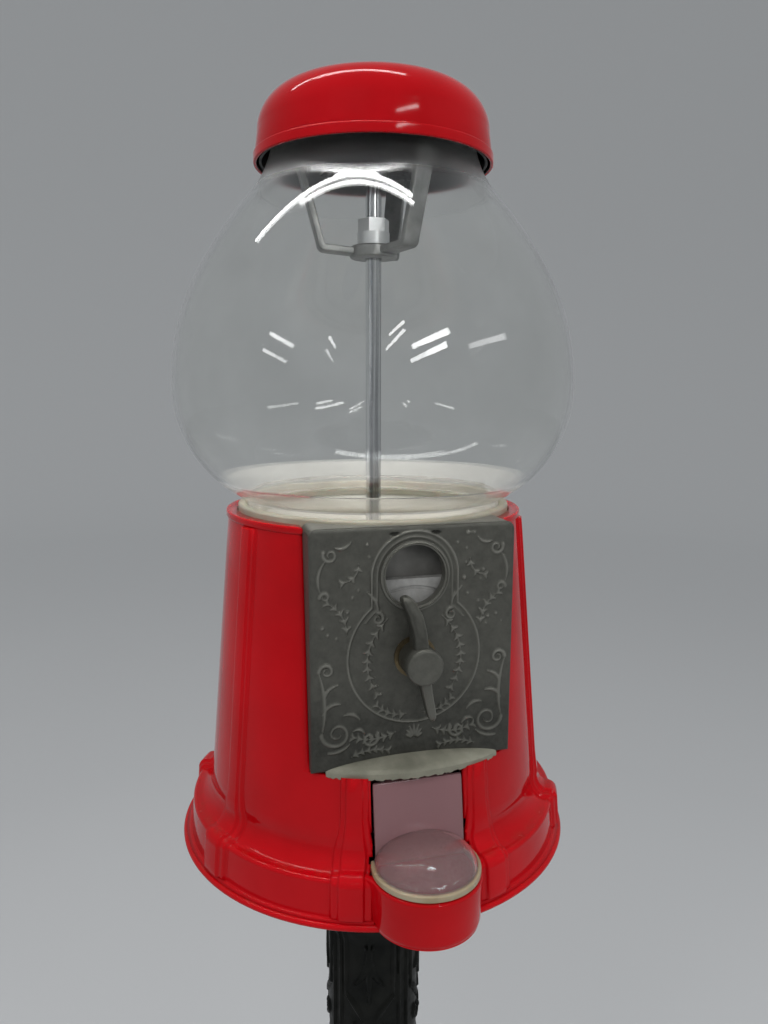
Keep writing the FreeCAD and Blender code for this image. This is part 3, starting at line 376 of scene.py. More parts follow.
casing = {
    "lip": 104.0, "lipHeight": 3.0, "lipWide": 6.0, "lipFillet": 1.2, "skirt": 99.5, "skirtTop": 20.7,
    "skirtRun": 14.0, "skirtDraft": 1.2, "skirtEdge": 2.0, "skirtMiddle": 97.6, "shoulder": 94.0,
    "waist": 87.6, "waistZ": 34.0, "waistBow": -0.178, "top": 75.5,
    "topZ": 174.5, "crownHeight": 3.6, "crownProud": 0.9, "crownEdge": 0.8, "mouth": 71.2, "wall": 3.3,
    "ribs": (20.0, 65.0, 115.0, 160.0), "ribHalf": 6.25, "ribSteps": ((1.2, 1.0), (1.0, 0.6)),
    "ribEdge": 0.075, "plinthSpread": 0.5, "plinthFrom": 44.0, "plinthTo": 25.0, "plateHalf": 48.3,
    "sillZ": 63.3, "chuteHalf": 22.5, "chuteFloor": 22.0, "doorRoom": 25.2, "doorRoomTop": 27.5,
    "cupY": -95.0, "cup": 25.4, "cupZ": 23.0, "cupWall": 3.0, "cupBackZ": 22.0, "cupBend": 4.0,
    "cupFillet": 9.0, "chuteColumns": (18, 2), "plateColumns": 12, "ribColumns": (6, 18, 16, 8)}


def coneRadius(z):
    share = (z - casing["waistZ"]) / (casing["topZ"] - casing["waistZ"])
    return casing["waist"] + share * (casing["top"] - casing["waist"])


# Outside line from the lip up over the skirt and the cone to the mouth
def casingProfile():
    c = casing
    lipHeight, fillet, skirt, draft, edge, crownEdge = (
        c[key] for key in ("lipHeight", "lipFillet", "skirt", "skirtDraft", "skirtEdge", "crownEdge"))
    nose = c["lip"] - lipHeight / 2
    crownZ = c["topZ"] - c["crownHeight"]
    crown = coneRadius(crownZ) + c["crownProud"]
    wallStops = sorted([*np.linspace(c["waistZ"] + 4, crownZ - 1, 22), c["sillZ"]])
    skirtStops = [(skirt - draft * t, lipHeight + fillet + t * c["skirtRun"]) for t in np.linspace(0, 1, 9)]
    return profilePath(
        (c["lip"] - c["lipWide"], 0), (nose, 0), ((nose, lipHeight), halfRound), (skirt + fillet, lipHeight),
        (skirtStops[0], -quarter), *skirtStops[1:], (skirt - draft, c["skirtTop"] - edge),
        ((skirt - draft - edge, c["skirtTop"]), quarter), (c["shoulder"], c["skirtTop"]),
        ((c["waist"], c["waistZ"]), c["waistBow"]), *[(coneRadius(z), z) for z in wallStops],
        (coneRadius(crownZ), crownZ), ((crown, crownZ + crownEdge), 0.1), (crown, c["topZ"] - crownEdge),
        ((crown - crownEdge, c["topZ"]), quarter), (c["mouth"], c["topZ"]))


# Azimuth of every grid point: columns follow the edges of the ribs, of the coin plate's gap and of the chute
def casingAzimuths(radius, height):
    c = casing
    spread = 1 + c["plinthSpread"] * smoothStep(c["plinthFrom"], c["plinthTo"], height)
    ribEdges = np.array([0.5, 0.54, 0.58, 0.62, 0.66, 0.72, 0.82, 0.90, 0.96, 1.0, 1.04, 1.08, 1.13])
    ribKeys = np.concatenate([-ribEdges[::-1], [0.0], ribEdges])
    keys = [(0.0, 0.0, 0), (0.0, c["chuteHalf"], 0)]
    counts = [*c["chuteColumns"]]
    for rib, columnsAfter in zip(c["ribs"], c["ribColumns"]):
        keys += [(rib, offset * c["ribHalf"], 1) for offset in ribKeys]
        counts += [1] * (len(ribKeys) - 1) + [columnsAfter]
        if rib == c["ribs"][0]:
            keys.append((0.0, c["plateHalf"], 0))
            counts.append(c["plateColumns"])
    keys = np.array(keys + [(180.0, 0.0, 0)])
    aside = keys[:, 1] * np.where(keys[:, 2] > 0, spread, 1.0)
    keyAzimuth = np.radians(keys[:, 0]) + np.arcsin(np.clip(aside / radius, -1, 1))
    place = np.concatenate([k + np.arange(n) / n for k, n in enumerate(counts)] + [[len(keys) - 1.0]])
    low = np.minimum(place.astype(int), len(keys) - 2)
    half = keyAzimuth[:, low] + (place - low) * (keyAzimuth[:, low + 1] - keyAzimuth[:, low])
    return np.concatenate([half, 2 * np.pi - half[:, -2:0:-1]], 1), spread


# Wall turned about the axis, pushed out along its normal by the two rounded steps of every rib
def casingGrid():
    c = casing
    profile = casingProfile()
    run = np.gradient(profile, axis=0)
    normal = np.stack([run[:, 1], -run[:, 0]], -1)
    normal /= np.linalg.norm(normal, axis=1, keepdims=True)
    radius, height = profile[:, :1], profile[:, 1:]
    azimuth, spread = casingAzimuths(radius, height)
    proud = np.zeros_like(azimuth)
    for rib in (*c["ribs"], *(-rib for rib in c["ribs"])):
        away = azimuth - np.radians(rib)
        lateral = np.abs(radius * np.sin(away)) / (c["ribHalf"] * spread) + 9.0 * (np.cos(away) < 0)
        for rise, width in c["ribSteps"]:
            proud += rise * spread * (1 - smoothStep(width - c["ribEdge"], width + c["ribEdge"], lateral))
    crownZ = c["topZ"] - c["crownHeight"]
    proud *= smoothStep(c["lipHeight"], c["lipHeight"] + 1.5, height)
    proud *= smoothStep(crownZ + 0.2, crownZ - 1.2, height)
    radius = radius + proud * normal[:, :1]
    height = height + proud * normal[:, 1:]
    points = roundPoints(radius, azimuth, height)
    faces = gridFaces(*azimuth.shape, True)
    x, y, z = faceMiddles(points, faces).T
    fromCup = np.hypot(x, y - c["cupY"])
    gone = (y < 0) & (np.abs(x) < c["plateHalf"]) & (z > c["sillZ"])
    gone |= (y < 0) & (np.abs(x) < c["chuteHalf"]) & (z > c["chuteFloor"]) & (z < c["sillZ"])
    gone |= (fromCup < c["cup"] - c["cupWall"] / 2) & (z < c["cupZ"])
    gone |= (fromCup < c["doorRoom"]) & (z > c["chuteFloor"]) & (z < c["doorRoomTop"])
    return points, faces[~gone]


casingShell = addPiece("casingShell", *casingGrid(), "red_enamel", replaces=["body_casing"], sharp=50)
addWall(casingShell, casing["wall"])


def flatRing(angle):
    return np.stack([np.cos(angle), np.sin(angle), 0 * angle], -1)


# Round cup in front of the skirt: in plan an arc that runs into the skirt through two hollow rounds, carried
# up a rounded wall, with a turned floor and the wall behind inside
def cupGrids():
    c = casing
    skirt, cup, fillet, cupY = c["skirtMiddle"], c["cup"], c["cupFillet"], c["cupY"]
    bend, top, wall, backZ = c["cupBend"], c["cupZ"], c["cupWall"], c["cupBackZ"]
    far = ((skirt + fillet)**2 - (cup + fillet)**2 + cupY**2) / (2 * -cupY)
    hollow = np.array([math.sqrt((skirt + fillet)**2 - far**2), -far, 0.0])
    turn = np.linspace(math.atan2(-hollow[1], -hollow[0]) - 0.5, math.atan2(cupY - hollow[1], -hollow[0]), 14)
    edge = math.atan2(hollow[0], cupY - hollow[1])
    sides = np.linspace(edge, -edge, 90)[1:-1] - np.pi / 2
    mirror = np.array([-1.0, 1.0, 1.0])
    half = hollow + fillet * flatRing(turn)
    front = [0.0, cupY, 0.0] + cup * flatRing(sides)
    places = np.concatenate([half, front, half[::-1] * mirror])
    outs = np.concatenate([-flatRing(turn), flatRing(sides), -flatRing(turn)[::-1] * mirror])
    loop = profilePath((-wall, 0.0), (-bend, 0.0), ((-0.6, bend), quarter), (0.0, top - 1.2),
                       ((-1.2, top), quarter), (-wall + 0.6, top), ((-wall, top - 0.6), quarter), arcPoints=7)
    floorLine = profilePath((0.01, 0.0), (cup - bend + 0.2, 0.0), (cup - wall + 0.4, wall + 2.0),
                            ((cup - wall - 2.6, wall), -quarter), (0.01, wall))
    inner = cup - wall + 0.15
    backLine = profilePath((cup - 1.2, 1.0), (cup - 1.2, backZ - 0.5), ((cup - 1.7, backZ), quarter),
                           (inner + 0.5, backZ), ((inner, backZ - 0.5), quarter), (inner, 2.0))
    return joinGrids(sweptGrid(places, outs, upwards, loop), turnedGrid(floorLine, 96, cupY),
                     turnedGrid(backLine, 96, cupY))


addPiece("chuteCup", *cupGrids(), "red_enamel", sharp=50)
print("casing and cup done")


# Lid

lid = {"rim": 59.2, "rimZ": 343.3, "band": 4.6, "proud": 0.9, "knee": (57.2, 357.0), "brow": (42.0, 377.2),
       "cornerBow": 0.176, "crownBow": 0.028, "top": 381.0, "wall": 1.6, "hole": 8.3}


# Spun dome: outside line up from the rim band, over the crown to the lock's hole, and back down a wall inside
def lidGrid():
    d = lid
    rim, rimZ, wall, hole = d["rim"], d["rimZ"], d["wall"], d["hole"]
    bandTop = rimZ + d["band"]
    skirt = rim - d["proud"]
    outer = profilePath((rim - wall, rimZ + 0.5), ((rim - 0.7, rimZ), 0.2), ((rim, rimZ + 0.7), quarter),
                        (rim, bandTop - 0.6), ((rim - 0.6, bandTop), quarter),
                        ((skirt, bandTop + 0.6), -quarter), d["knee"], (d["brow"], d["cornerBow"]),
                        arcPoints=14)
    crown = profilePath(d["brow"], ((0.0, d["top"]), d["crownBow"]), arcPoints=30)[1:]
    outer = np.concatenate([outer, crown[crown[:, 0] > hole + 1.0]])
    edgeZ = d["top"] - 0.05
    inner = profilePath((hole, edgeZ), (hole, edgeZ - wall), (d["brow"][0] - wall / 2, d["brow"][1] - wall),
                        ((d["knee"][0] - wall, d["knee"][1]), d["cornerBow"]), (skirt - wall, bandTop + 0.6),
                        arcPoints=12)
    points, faces = turnedGrid(np.concatenate([outer, inner]), 160, closed=True)
    return points, faces, np.repeat(np.arange(len(points)) >= len(outer), 160)


lidPoints, lidFaces, lidInside = lidGrid()
addPiece("lidDome", lidPoints, lidFaces, "red_enamel", "lid", ["lid_shell"], sharp=45,
         patch=(lidInside, "blackPlastic"))


# Globe

globe = {"neck": (66.0, 179.5), "bottom": 172.6, "lean": 64.0, "wall": 2.2, "footEdge": 1.5, "neckTop": 189.0,
         "points": ((86.4, 195.2), (101.6, 236.0), (88.0, 290.4), (63.0, 326.4), (51.0, 349.0))}


# Blown wall: arcs that each leave as the last one arrived, up the outside and the same arcs down the inside
def globeGrid():
    g = globe
    bottom, wall, edge = g["bottom"], g["wall"], g["footEdge"]
    chain = [(*g["neck"], math.radians(g["lean"]))]
    for radius, height in g["points"]:
        lastRadius, lastHeight, lastLean = chain[-1]
        chain.append((radius, height, 2 * math.atan2(radius - lastRadius, height - lastHeight) - lastLean))
    outer = [(r, z) for r, z, lean in chain]
    inner = [(r - wall * math.cos(lean), z + wall * math.sin(lean)) for r, z, lean in chain]
    bows = [math.tan((low[2] - high[2]) / 4) / 2 for low, high in zip(chain, chain[1:])]
    line = profilePath(
        (inner[0][0], bottom + edge), ((inner[0][0] + edge, bottom), -0.2), (outer[0][0] - edge, bottom),
        ((outer[0][0], bottom + edge), quarter), outer[0], *zip(outer[1:], bows), (inner[-1], 0.35),
        *[(p, -b) for p, b in zip(inner[:-1], bows)][::-1], arcPoints=16)
    points, faces = turnedGrid(line, 176, closed=True)
    return points, faces, faceMiddles(points, faces)[:, 2] < g["neckTop"]


globePoints, globeFaces, globeNeck = globeGrid()
glassGlobe = addPiece("globe", globePoints, globeFaces, "globe_glass", replaces=["glass_globe"], sharp=60,
                      patch=(globeNeck, "neckGlass"))
glassGlobe.visible_shadow = False        # clear glass lets the light in
print("lid and globe done")


# Coin plate

# The ornament is given on one side of the middle and mirrored: a scroll by its middle, size, start, turns and
# hand, a stem by its ends, bow and half width, a sprig by its ends, bow, pairs of leaves and their length
plate = {
    "half": 48.0, "bottom": 64.4, "top": 176.0, "face": 75.0, "thick": 4.0, "corner": 4.0, "edge": 1.6,
    "step": 0.4, "handleZ": 116.0, "windowZ": 153.5, "window": 14.0, "ring": 31.0, "arch": 20.0, "line": 0.8,
    "lineRise": 0.9, "lineGap": 2.4, "cheek": 3.0, "back": 54.6, "seat": 71.0, "sillTop": 69.6,
    "sillArc": 85.9, "sillNose": 66.0, "sillBottom": 62.4, "palmetteZ": 76.4, "fieldDeep": 0.35,
    "carveRise": 0.85, "carveSunk": 0.12, "dots": 60, "dotSpans": ((-44, 44), (118, 172), (0.45, 1.15)),
    "dotsOffWindow": 23, "dotsOffHandle": 34, "dotsOffScrolls": (35, 143), "dotRise": 0.8,
    "sink": (9.5, 172.6), "sinkHalf": (2.6, 0.9), "sinkDeep": 0.7,
    "scrolls": ((36.0, 82.5, 7.2, 0, 1.45, -1), (21.0, 78.6, 4.2, 150, 1.3, 1),
                (40.6, 112.2, 3.6, 0, 1.3, 1), (38.6, 164.5, 3.4, 20, 1.2, -1),
                (41.2, 146.0, 2.3, 0, 1.1, 1), (17.2, 134.6, 3.0, 90, 1.2, 1)),
    "stems": (((28.8, 83.0), (23.2, 81.2), 0.25, 0.9), ((43.0, 83.0), (44.2, 112.0), -0.07, 1.0),
              ((41.8, 98.0), (35.6, 105.5), 0.22, 1.0), ((42.6, 92.0), (34.4, 96.5), 0.20, 1.0),
              ((33.0, 91.0), (25.5, 88.2), 0.18, 0.9), ((30.4, 77.0), (40.5, 73.8), 0.12, 0.9),
              ((41.0, 162.0), (43.2, 148.5), -0.14, 0.9), ((36.4, 167.6), (29.5, 169.8), -0.18, 0.8),
              ((22.2, 147.0), (17.0, 138.0), 0.12, 0.8)),
    "sprigs": (((8.5, 80.6), (28.5, 80.0), 0.1, 7, 3.3), ((12.5, 134.5), (17.0, 98.5), -0.2, 9, 3.4),
               ((31.5, 128.0), (40.0, 143.0), -0.15, 5, 3.2), ((3.5, 88.8), (17.5, 94.0), 0.12, 5, 3.0),
               ((30.0, 70.6), (12.5, 72.0), 0.1, 6, 2.8), ((26.0, 160.0), (33.0, 152.0), 0.2, 3, 2.8))}


def crestOf(share):
    return np.sqrt(np.clip(1 - share**2, 0, 1))


# Crest of rounded lines at every grid point: the least distance to a line as a share of its half width there
def carved(x, z, lines, widen=1.0):
    x = np.abs(x)
    share = np.full(x.shape, 9.0)
    for line, half in lines:
        half = half * widen
        reach = half.max() + 0.5
        low, high = line.min(0) - reach, line.max(0) + reach
        near = (x > low[0]) & (x < high[0]) & (z > low[1]) & (z < high[1])
        away = np.hypot(x[near][:, None] - line[:, 0], z[near][:, None] - line[:, 1])
        share[near] = np.minimum(share[near], (away / half).min(1))
    return crestOf(share)


# Scroll: a spiral whose radius shrinks by the same share on every turn, in a line that thins inwards
def scrollLine(x, z, size, start, turns, hand, shrink=0.62, points=120):
    t = np.linspace(0, 1, points)
    angle = math.radians(start) + hand * 2 * np.pi * turns * t
    radius = size * shrink ** (turns * t * 2)
    return np.stack([x + radius * np.cos(angle), z + radius * np.sin(angle)], -1), 0.30 + 0.75 * (1 - t)


# Curved stem between two points, bowed to one side, thick in the middle
def stemLine(start, end, bow, thick, points=90):
    t = np.linspace(0, 1, points)
    start, end = np.array(start), np.array(end)
    chord = end - start
    right = np.array([chord[1], -chord[0]])
    line = start + t[:, None] * chord + (4 * bow * t * (1 - t))[:, None] * right
    return line, thick * (0.35 + 0.65 * np.sin(np.pi * t))


# Stem with pairs of leaves: each leaf leaves the stem at about 40 degrees
def sprig(start, end, bow, count, reach):
    stem, half = stemLine(start, end, bow, 0.5)
    lines = [(stem, half)]
    for pick in np.linspace(6, len(stem) - 6, count).astype(int):
        run = stem[pick + 3] - stem[pick - 3]
        run = run / np.linalg.norm(run)
        for hand in (-1, 1):
            tip = stem[pick] + reach * (0.76 * run + 0.65 * hand * np.array([-run[1], run[0]]))
            lines.append(stemLine(stem[pick], tip, 0.2 * hand, 0.75))
    return lines


def plateOrnament():
    lines = [scrollLine(*scroll) for scroll in plate["scrolls"]]
    lines += [stemLine(*stem) for stem in plate["stems"]]
    for shoot in plate["sprigs"]:
        lines += sprig(*shoot)
    foot = np.array([0.0, plate["palmetteZ"]])
    for leaf in range(-3, 4):      # palmette in the middle of the foot
        angle = math.radians(90 + 20 * leaf)
        way = np.array([math.cos(angle), math.sin(angle)])
        lines.append(stemLine(foot + way * [2.0, 1.2], foot + way * (7.4 - abs(leaf)), 0.04 * leaf, 0.85))
    return lines


# How far points lie past the start of the plate's rounded top corners, sideways and up
def pastCorner(x, z):
    straightHalf, straightTop = plate["half"] - plate["corner"], plate["top"] - plate["corner"]
    return np.maximum(np.abs(x) - straightHalf, 0), np.maximum(z - straightTop, 0)


# Height of the relief over the face: keyhole lines, scrolls, leaves and cast dots, and a rounded border
def plateRelief(x, z):
    p = plate
    handleZ, windowZ, edge = p["handleZ"], p["windowZ"], p["edge"]
    arch = np.where(z > windowZ, np.hypot(x, z - windowZ), np.abs(x)) - p["arch"] + 60.0 * (z < handleZ)
    keyhole = np.minimum(np.hypot(x, z - handleZ) - p["ring"], arch)
    outline = crestOf(np.abs(keyhole) / p["line"])
    inline = crestOf(np.abs(keyhole + p["lineGap"]) / (0.8 * p["line"])) * (z > handleZ + 17.0)
    rise = p["lineRise"] * np.maximum(outline, inline) - p["fieldDeep"] * smoothStep(0.3, -0.5, keyhole)
    rise = np.maximum(rise, p["carveRise"] * carved(x, z, plateOrnament()) - p["carveSunk"])
    dotX, dotZ, dotHalf = (rng.uniform(*span, p["dots"]) for span in p["dotSpans"])
    clear = np.hypot(dotX, dotZ - windowZ) > p["dotsOffWindow"]
    clear &= np.hypot(dotX, dotZ - handleZ) > p["dotsOffHandle"]
    clear &= (np.abs(dotX) <= p["dotsOffScrolls"][0]) | (dotZ <= p["dotsOffScrolls"][1])
    for atX, atZ, half in zip(dotX[clear], dotZ[clear], dotHalf[clear]):
        rise = np.maximum(rise, p["dotRise"] * half * crestOf(np.hypot(x - atX, z - atZ) / half))
    (sinkX, sinkZ), (sinkWide, sinkTall) = p["sink"], p["sinkHalf"]     # two beside the top of the arch
    sink = np.hypot((np.abs(x) - sinkX) / sinkWide, (z - sinkZ) / sinkTall)
    rise = rise - p["sinkDeep"] * (1 - smoothStep(0.7, 1.1, sink))
    overX, overZ = pastCorner(x, z)
    border = np.where((overX > 0) & (overZ > 0), p["corner"] - np.hypot(overX, overZ),
                      np.minimum(p["half"] - np.abs(x), p["top"] - z))
    border = np.minimum(border, z - p["bottom"])
    drop = edge - np.sqrt(np.clip(edge**2 - np.clip(edge - border, 0, edge)**2, 0, None))
    return rise * smoothStep(0.4, 2.0, border), drop


# Face of the plate as a fine height field, with the window open and the top corners pulled to their round
def plateGrid():
    p = plate
    cols = int(2 * p["half"] / p["step"]) + 1
    rows = int((p["top"] - p["bottom"]) / p["step"]) + 1
    x, z = np.meshgrid(np.linspace(-p["half"], p["half"], cols), np.linspace(p["bottom"], p["top"], rows))
    overX, overZ = pastCorner(x, z)
    pull = 1 - np.maximum(overX, overZ) / np.maximum(np.hypot(overX, overZ), 1e-9)
    pull = np.where((overX > 0) & (overZ > 0), pull, 0)
    x, z = x - np.sign(x) * overX * pull, z - overZ * pull
    rise, drop = plateRelief(x, z)
    points = np.stack([x, -(p["face"] + rise - drop), z], -1)
    faces = gridFaces(rows, cols)
    middle = faceMiddles(points, faces)
    gone = np.hypot(middle[:, 0], middle[:, 2] - p["windowZ"]) < p["window"] + 0.9
    return points, faces[~gone], np.clip(0.35 + 0.55 * rise - 0.19 * smoothStep(112.0, 76.0, z), 0, 1)


platePoints, plateFaces, plateHeights = plateGrid()
plateFace = addPiece("plateFace", platePoints, plateFaces, "pewter", replaces=["coin_plate"], sharp=60,
                     relief=plateHeights)
addWall(plateFace, plate["thick"])


# Round lip of the coin window, turned about the window's own axis
def windowLip():
    window, face = plate["window"], plate["face"]
    back = face - plate["thick"]
    line = profilePath((window, back), (window, face + 0.9), ((window + 0.9, face + 1.7), quarter),
                       ((window + 2.1, face + 0.9), quarter), (window + 2.4, face - 0.4),
                       (window + 2.4, back))
    return facedGrid(line[::-1], plate["windowZ"], 72, True)


lipPoints, lipFaces = windowLip()
addPiece("windowLip", lipPoints, lipFaces, "pewter", relief=np.full(lipPoints.shape[:2], 0.62))


# Side cheeks, and the brow over the works that stops at the globe's seat
def plateSides():
    p = plate
    half, top, bottom, face, back = (p[key] for key in ("half", "top", "bottom", "face", "back"))
    grids = []
    loop = roundedLoop((top - bottom) / 2, (face - 1.0 - back) / 2, 0.8) * [0.972, 1.0]
    for side in (-1, 1):
        x = side * np.linspace(half - p["cheek"], half - 0.25, 3)
        places = np.stack([x, 0 * x - (face - 1.0 + back) / 2, 0 * x + (top + bottom) / 2 - 1.4], -1)
        grids.append(sweptGrid(places, upwards, side * toBack, loop))
    x = (half - 0.3) * np.sin(np.linspace(-np.pi / 2, np.pi / 2, 80))
    front = np.full_like(x, -face + 1.2)
    rear = np.maximum(-np.sqrt(np.maximum(p["seat"]**2 - x**2, back**2)), front + 0.5)
    high = top - 0.15 - p["corner"] + np.sqrt(p["corner"]**2 - pastCorner(x, 0)[0]**2)
    low = high - 2.85
    brow = [np.stack([x, y, z], -1) for y, z in ((front, low), (front, high), (rear, high), (rear, low))]
    return joinGrids(*grids, (np.stack(brow, 1), gridFaces(len(x), len(brow), True)))


sidePoints, sideFaces = plateSides()
addPiece("plateSides", sidePoints, sideFaces, "pewter",
         relief=0.34 + 0.6 * smoothStep(plate["top"] - 1.5, plate["top"] - 0.3, sidePoints[:, 2]))


# Sloping sill: a lens between an arc on the face and the casing's round in front, with a ragged cast foot
def sillGrid():
    p = plate
    arc, face, bottom = p["sillArc"], p["face"], p["sillBottom"]
    x = math.sqrt(arc**2 - (face + 0.3)**2) * np.sin(np.linspace(-np.pi / 2, np.pi / 2, 121))
    front = np.sqrt(arc**2 - x**2)
    share = (front - face) / (arc - face)
    ragged = 0.35 * np.sin(x * 1.15) + 0.25 * np.sin(x * 2.7 + 1.0) + 0.15 * np.sin(x * 0.41)
    foot = bottom + 0.7 + 0.9 * ragged * np.minimum(1, 8 * share)
    backZ = bottom + 3.0 + (p["sillTop"] - bottom - 3.0) * share**0.8
    noseZ = bottom + 2.6 + (p["sillNose"] - bottom - 2.6) * share
    back = np.full_like(x, face - 1.0)
    lip = np.minimum(1, 6 * share)      # lip that hangs in front of the door's head
    ring = [(back, foot), (front - 2.6 * lip, foot), (front - 2.1 * lip, foot - 1.1 * lip),
            (front - 0.8 * lip, foot - 1.1 * lip), (front, foot + 0.5 - lip), (front, noseZ - 0.7),
            (front - 0.6, noseZ)]
    for t in np.linspace(0, 1, 7)[1:-1]:
        bulge = 0.5 * np.sin(np.pi * t) * share
        ring.append((front - 0.6 + t * (face - front + 0.4), noseZ + t * (backZ - noseZ) + bulge))
    ring += [(np.full_like(x, face - 0.2), backZ), (back, backZ)]
    points = np.stack([np.stack([x, -depth, z], -1) for depth, z in ring], 1)
    return points, gridFaces(len(x), len(ring), True)[:, ::-1]


addPiece("plateSill", *sillGrid(), "pewter", lookName="sillMetal", sharp=30)
print("coin plate done")


# Coin carrier

carrier = {"radius": 44.0, "flat": 35.0, "stop": 38.0, "front": 70.7, "back": 66.3, "bore": 4.3,
           "groove": 31.0, "grooveHalf": 0.8, "grooveDeep": 0.7, "edge": 0.5}


# Disc turned about the shaft, cut off straight along its top, with one groove round its face
def carrierGrid():
    c = carrier
    front, back, edge, groove, low = (c[key] for key in ("front", "back", "edge", "groove", "grooveHalf"))
    deep = front - c["grooveDeep"]
    line = np.array([(c["bore"], back), (c["bore"], front), (groove - low, front), (groove - 0.6 * low, deep),
                     (groove + 0.6 * low, deep), (groove + low, front), (c["flat"] - edge, front),
                     (c["stop"], front), (c["radius"] - edge, front), (c["radius"], front - edge),
                     (c["radius"], back)])
    angle = roundAngles(180)
    limit = np.where(np.sin(angle) > 0, c["flat"] / np.maximum(np.sin(angle), 1e-6), 1e3)
    radius = np.minimum(line[:, :1], limit)
    points = np.stack([radius * np.cos(angle), -line[:, 1:] + 0 * angle,
                       plate["handleZ"] + radius * np.sin(angle)], -1)
    return points, gridFaces(len(line), len(angle), True, True)[:, ::-1]


addPiece("coinCarrier", *carrierGrid(), "coin_steel", "handle", ["coin_wheel"], "coinCarrier", sharp=25)
print("coin carrier done")


# Turn handle

handle = {"y": -76.3, "hub": 8.3, "length": 16.0, "tilt": 10.0, "endRound": 2.4, "squared": 0.6,
          "along": (-29.0, -24.6, -14.5, -6.0, 0.0, 6.0, 14.0, 22.0, 27.5, 31.0),
          "wide": (2.8, 4.2, 4.8, 6.0, 7.6, 7.0, 6.4, 6.6, 6.0, 4.0),
          "deep": (3.6, 5.6, 7.4, 9.6, 12.0, 12.6, 12.2, 11.0, 9.4, 6.4),
          "lean": (0.8, 0.5, 0.0, 0.0, 0.0, 0.2, 0.6, 1.6, 2.6, 3.4),
          "aside": (1.2, 0.9, 0.3, 0.0, 0.0, 0.5, 1.3, 1.0, -0.4, -1.7)}


# Smooth curve through given stations
def through(stations, values, at):
    kernel = np.hanning(15)
    padded = np.pad(np.interp(at, stations, values), 7, mode="edge")
    return np.convolve(padded, kernel / kernel.sum(), "valid")


# Two wings as one run of squared ovals along the handle, each with its own width, depth and lean, and a
# turned hub; the relief is bare along the ovals' corners as wear, and painted highlight makes the right-hand
# corners, the low wing's front and the hub's front lighter
def handleGrid():
    h = handle
    at = np.linspace(h["along"][0], h["along"][-1], 150)
    wide, deep, lean, aside = (through(h["along"], h[key], at) for key in ("wide", "deep", "lean", "aside"))
    endGap = np.minimum(at - at[0], at[-1] - at)
    taper = np.sqrt(np.clip(1 - (1 - np.clip(endGap / h["endRound"], 0, 1))**2, 0, 1))
    angle = roundAngles(40)
    oval = np.stack([np.cos(angle), np.sin(angle)], -1)
    oval = np.sign(oval) * np.abs(oval)**h["squared"]
    loops = oval * (taper[:, None] * np.stack([wide, deep], -1) / 2)[:, None, :]
    places = np.stack([aside, h["y"] - h["length"] / 2 + lean, at], -1)
    wings = sweptGrid(places, toRight, toBack, loops)
    # Painted highlight: the right-hand corners are much lighter than the left, and so is the low wing's front
    # face
    corners = np.exp(-((np.mod(angle, np.pi / 2) - np.pi / 4) / 0.22)**2) * (0.55 + 0.45 * np.cos(angle))
    lowWing = smoothStep(75, 55, np.arange(len(wings[0])))[:, None]
    wingWearAndHighlight = 0.24 + 0.62 * corners + 0.30 * lowWing * (np.sin(angle) < -0.2)
    back, front, size = -h["y"], -h["y"] + h["length"], h["hub"]
    line = profilePath((0.01, front - 0.3), (size - 2.2, front - 0.25), (size - 1.4, front),
                       ((size, front - 1.4), -quarter), (size, front - 6.5), (size - 0.5, front - 8.0),
                       (size - 0.2, back + 0.8), ((size - 1.0, back), -quarter), (0.01, back))
    hub = facedGrid(line, 0.0, 72)
    # Painted highlight: the hub grows lighter towards its front face
    hubHighlight = 0.22 + 0.22 * smoothStep(-84.0, -92.0, hub[0][..., 1])
    points, faces = joinGrids(wings, hub)
    x, y, z = points.T
    c, s = math.cos(math.radians(h["tilt"])), math.sin(math.radians(h["tilt"]))
    points = np.stack([x * c - z * s, y, x * s + z * c + plate["handleZ"]], -1)
    return points, faces, np.concatenate([wingWearAndHighlight.ravel(), hubHighlight.ravel()])


handlePoints, handleFaces, handleWearAndHighlight = handleGrid()
addPiece("turnKey", handlePoints, handleFaces, "pewter", "handle", ["turn_handle"], sharp=45,
         relief=handleWearAndHighlight)
print("handle done")


# Door

door = {"half": 21.2, "thick": 1.8, "topY": -82.0, "topZ": 59.5, "footY": -88.0, "footZ": 23.3,
        "bubble": 23.4, "rise": 12.5, "bubbleWall": 1.6, "rimZ": 26.3, "centreY": -95.0, "rim": 23.1,
        "rimHalf": 1.6, "rimTall": 1.5, "hingeY": -76.5, "hingeZ": 56.0, "knuckle": 2.4, "knuckleHalf": 14.7,
        "pin": 1.25}


def doorLine(z):
    d = door
    return d["topY"] + (d["topZ"] - z) / (d["topZ"] - d["footZ"]) * (d["footY"] - d["topY"])


# Flat panel as rounded loops stacked from its foot to its top
def doorPanel():
    d = door
    foot, top = d["footZ"], d["topZ"]
    z = np.array([foot, foot + 0.4, *np.linspace(foot + 2, top - 2, 12), top - 0.5, top])
    trim = np.array([0.5, 0.1] + [0.0] * 12 + [0.15, 0.6])
    loops = roundedLoop(d["half"], d["thick"] / 2, 0.6) * (1 - trim[:, None, None] * np.array([0.02, 0.4]))
    places = np.stack([0 * z, doorLine(z) + d["thick"] / 2, z], -1)
    return sweptGrid(places, toRight, toBack, loops)


# Half of a flattened ball over the cup, pressed flat where it meets the panel and open there
def doorBubble():
    d = door
    polar = np.linspace(0, np.pi / 2, 36)[:, None]
    azimuth = roundAngles(112)
    z = d["rimZ"] - 1.1 + d["rise"] * np.cos(polar) + 0 * azimuth
    y = np.minimum(d["centreY"] - d["bubble"] * np.sin(polar) * np.cos(azimuth), doorLine(z) + 0.4)
    points = np.stack([d["bubble"] * np.sin(polar) * np.sin(azimuth), y, z], -1)
    faces = gridFaces(*z.shape, True)[:, ::-1]
    span = points.reshape(-1, 3)[faces]
    onPanel = (span[..., 1] >= doorLine(span[..., 2]) + 0.39).all(1)
    return points, faces[~onPanel]


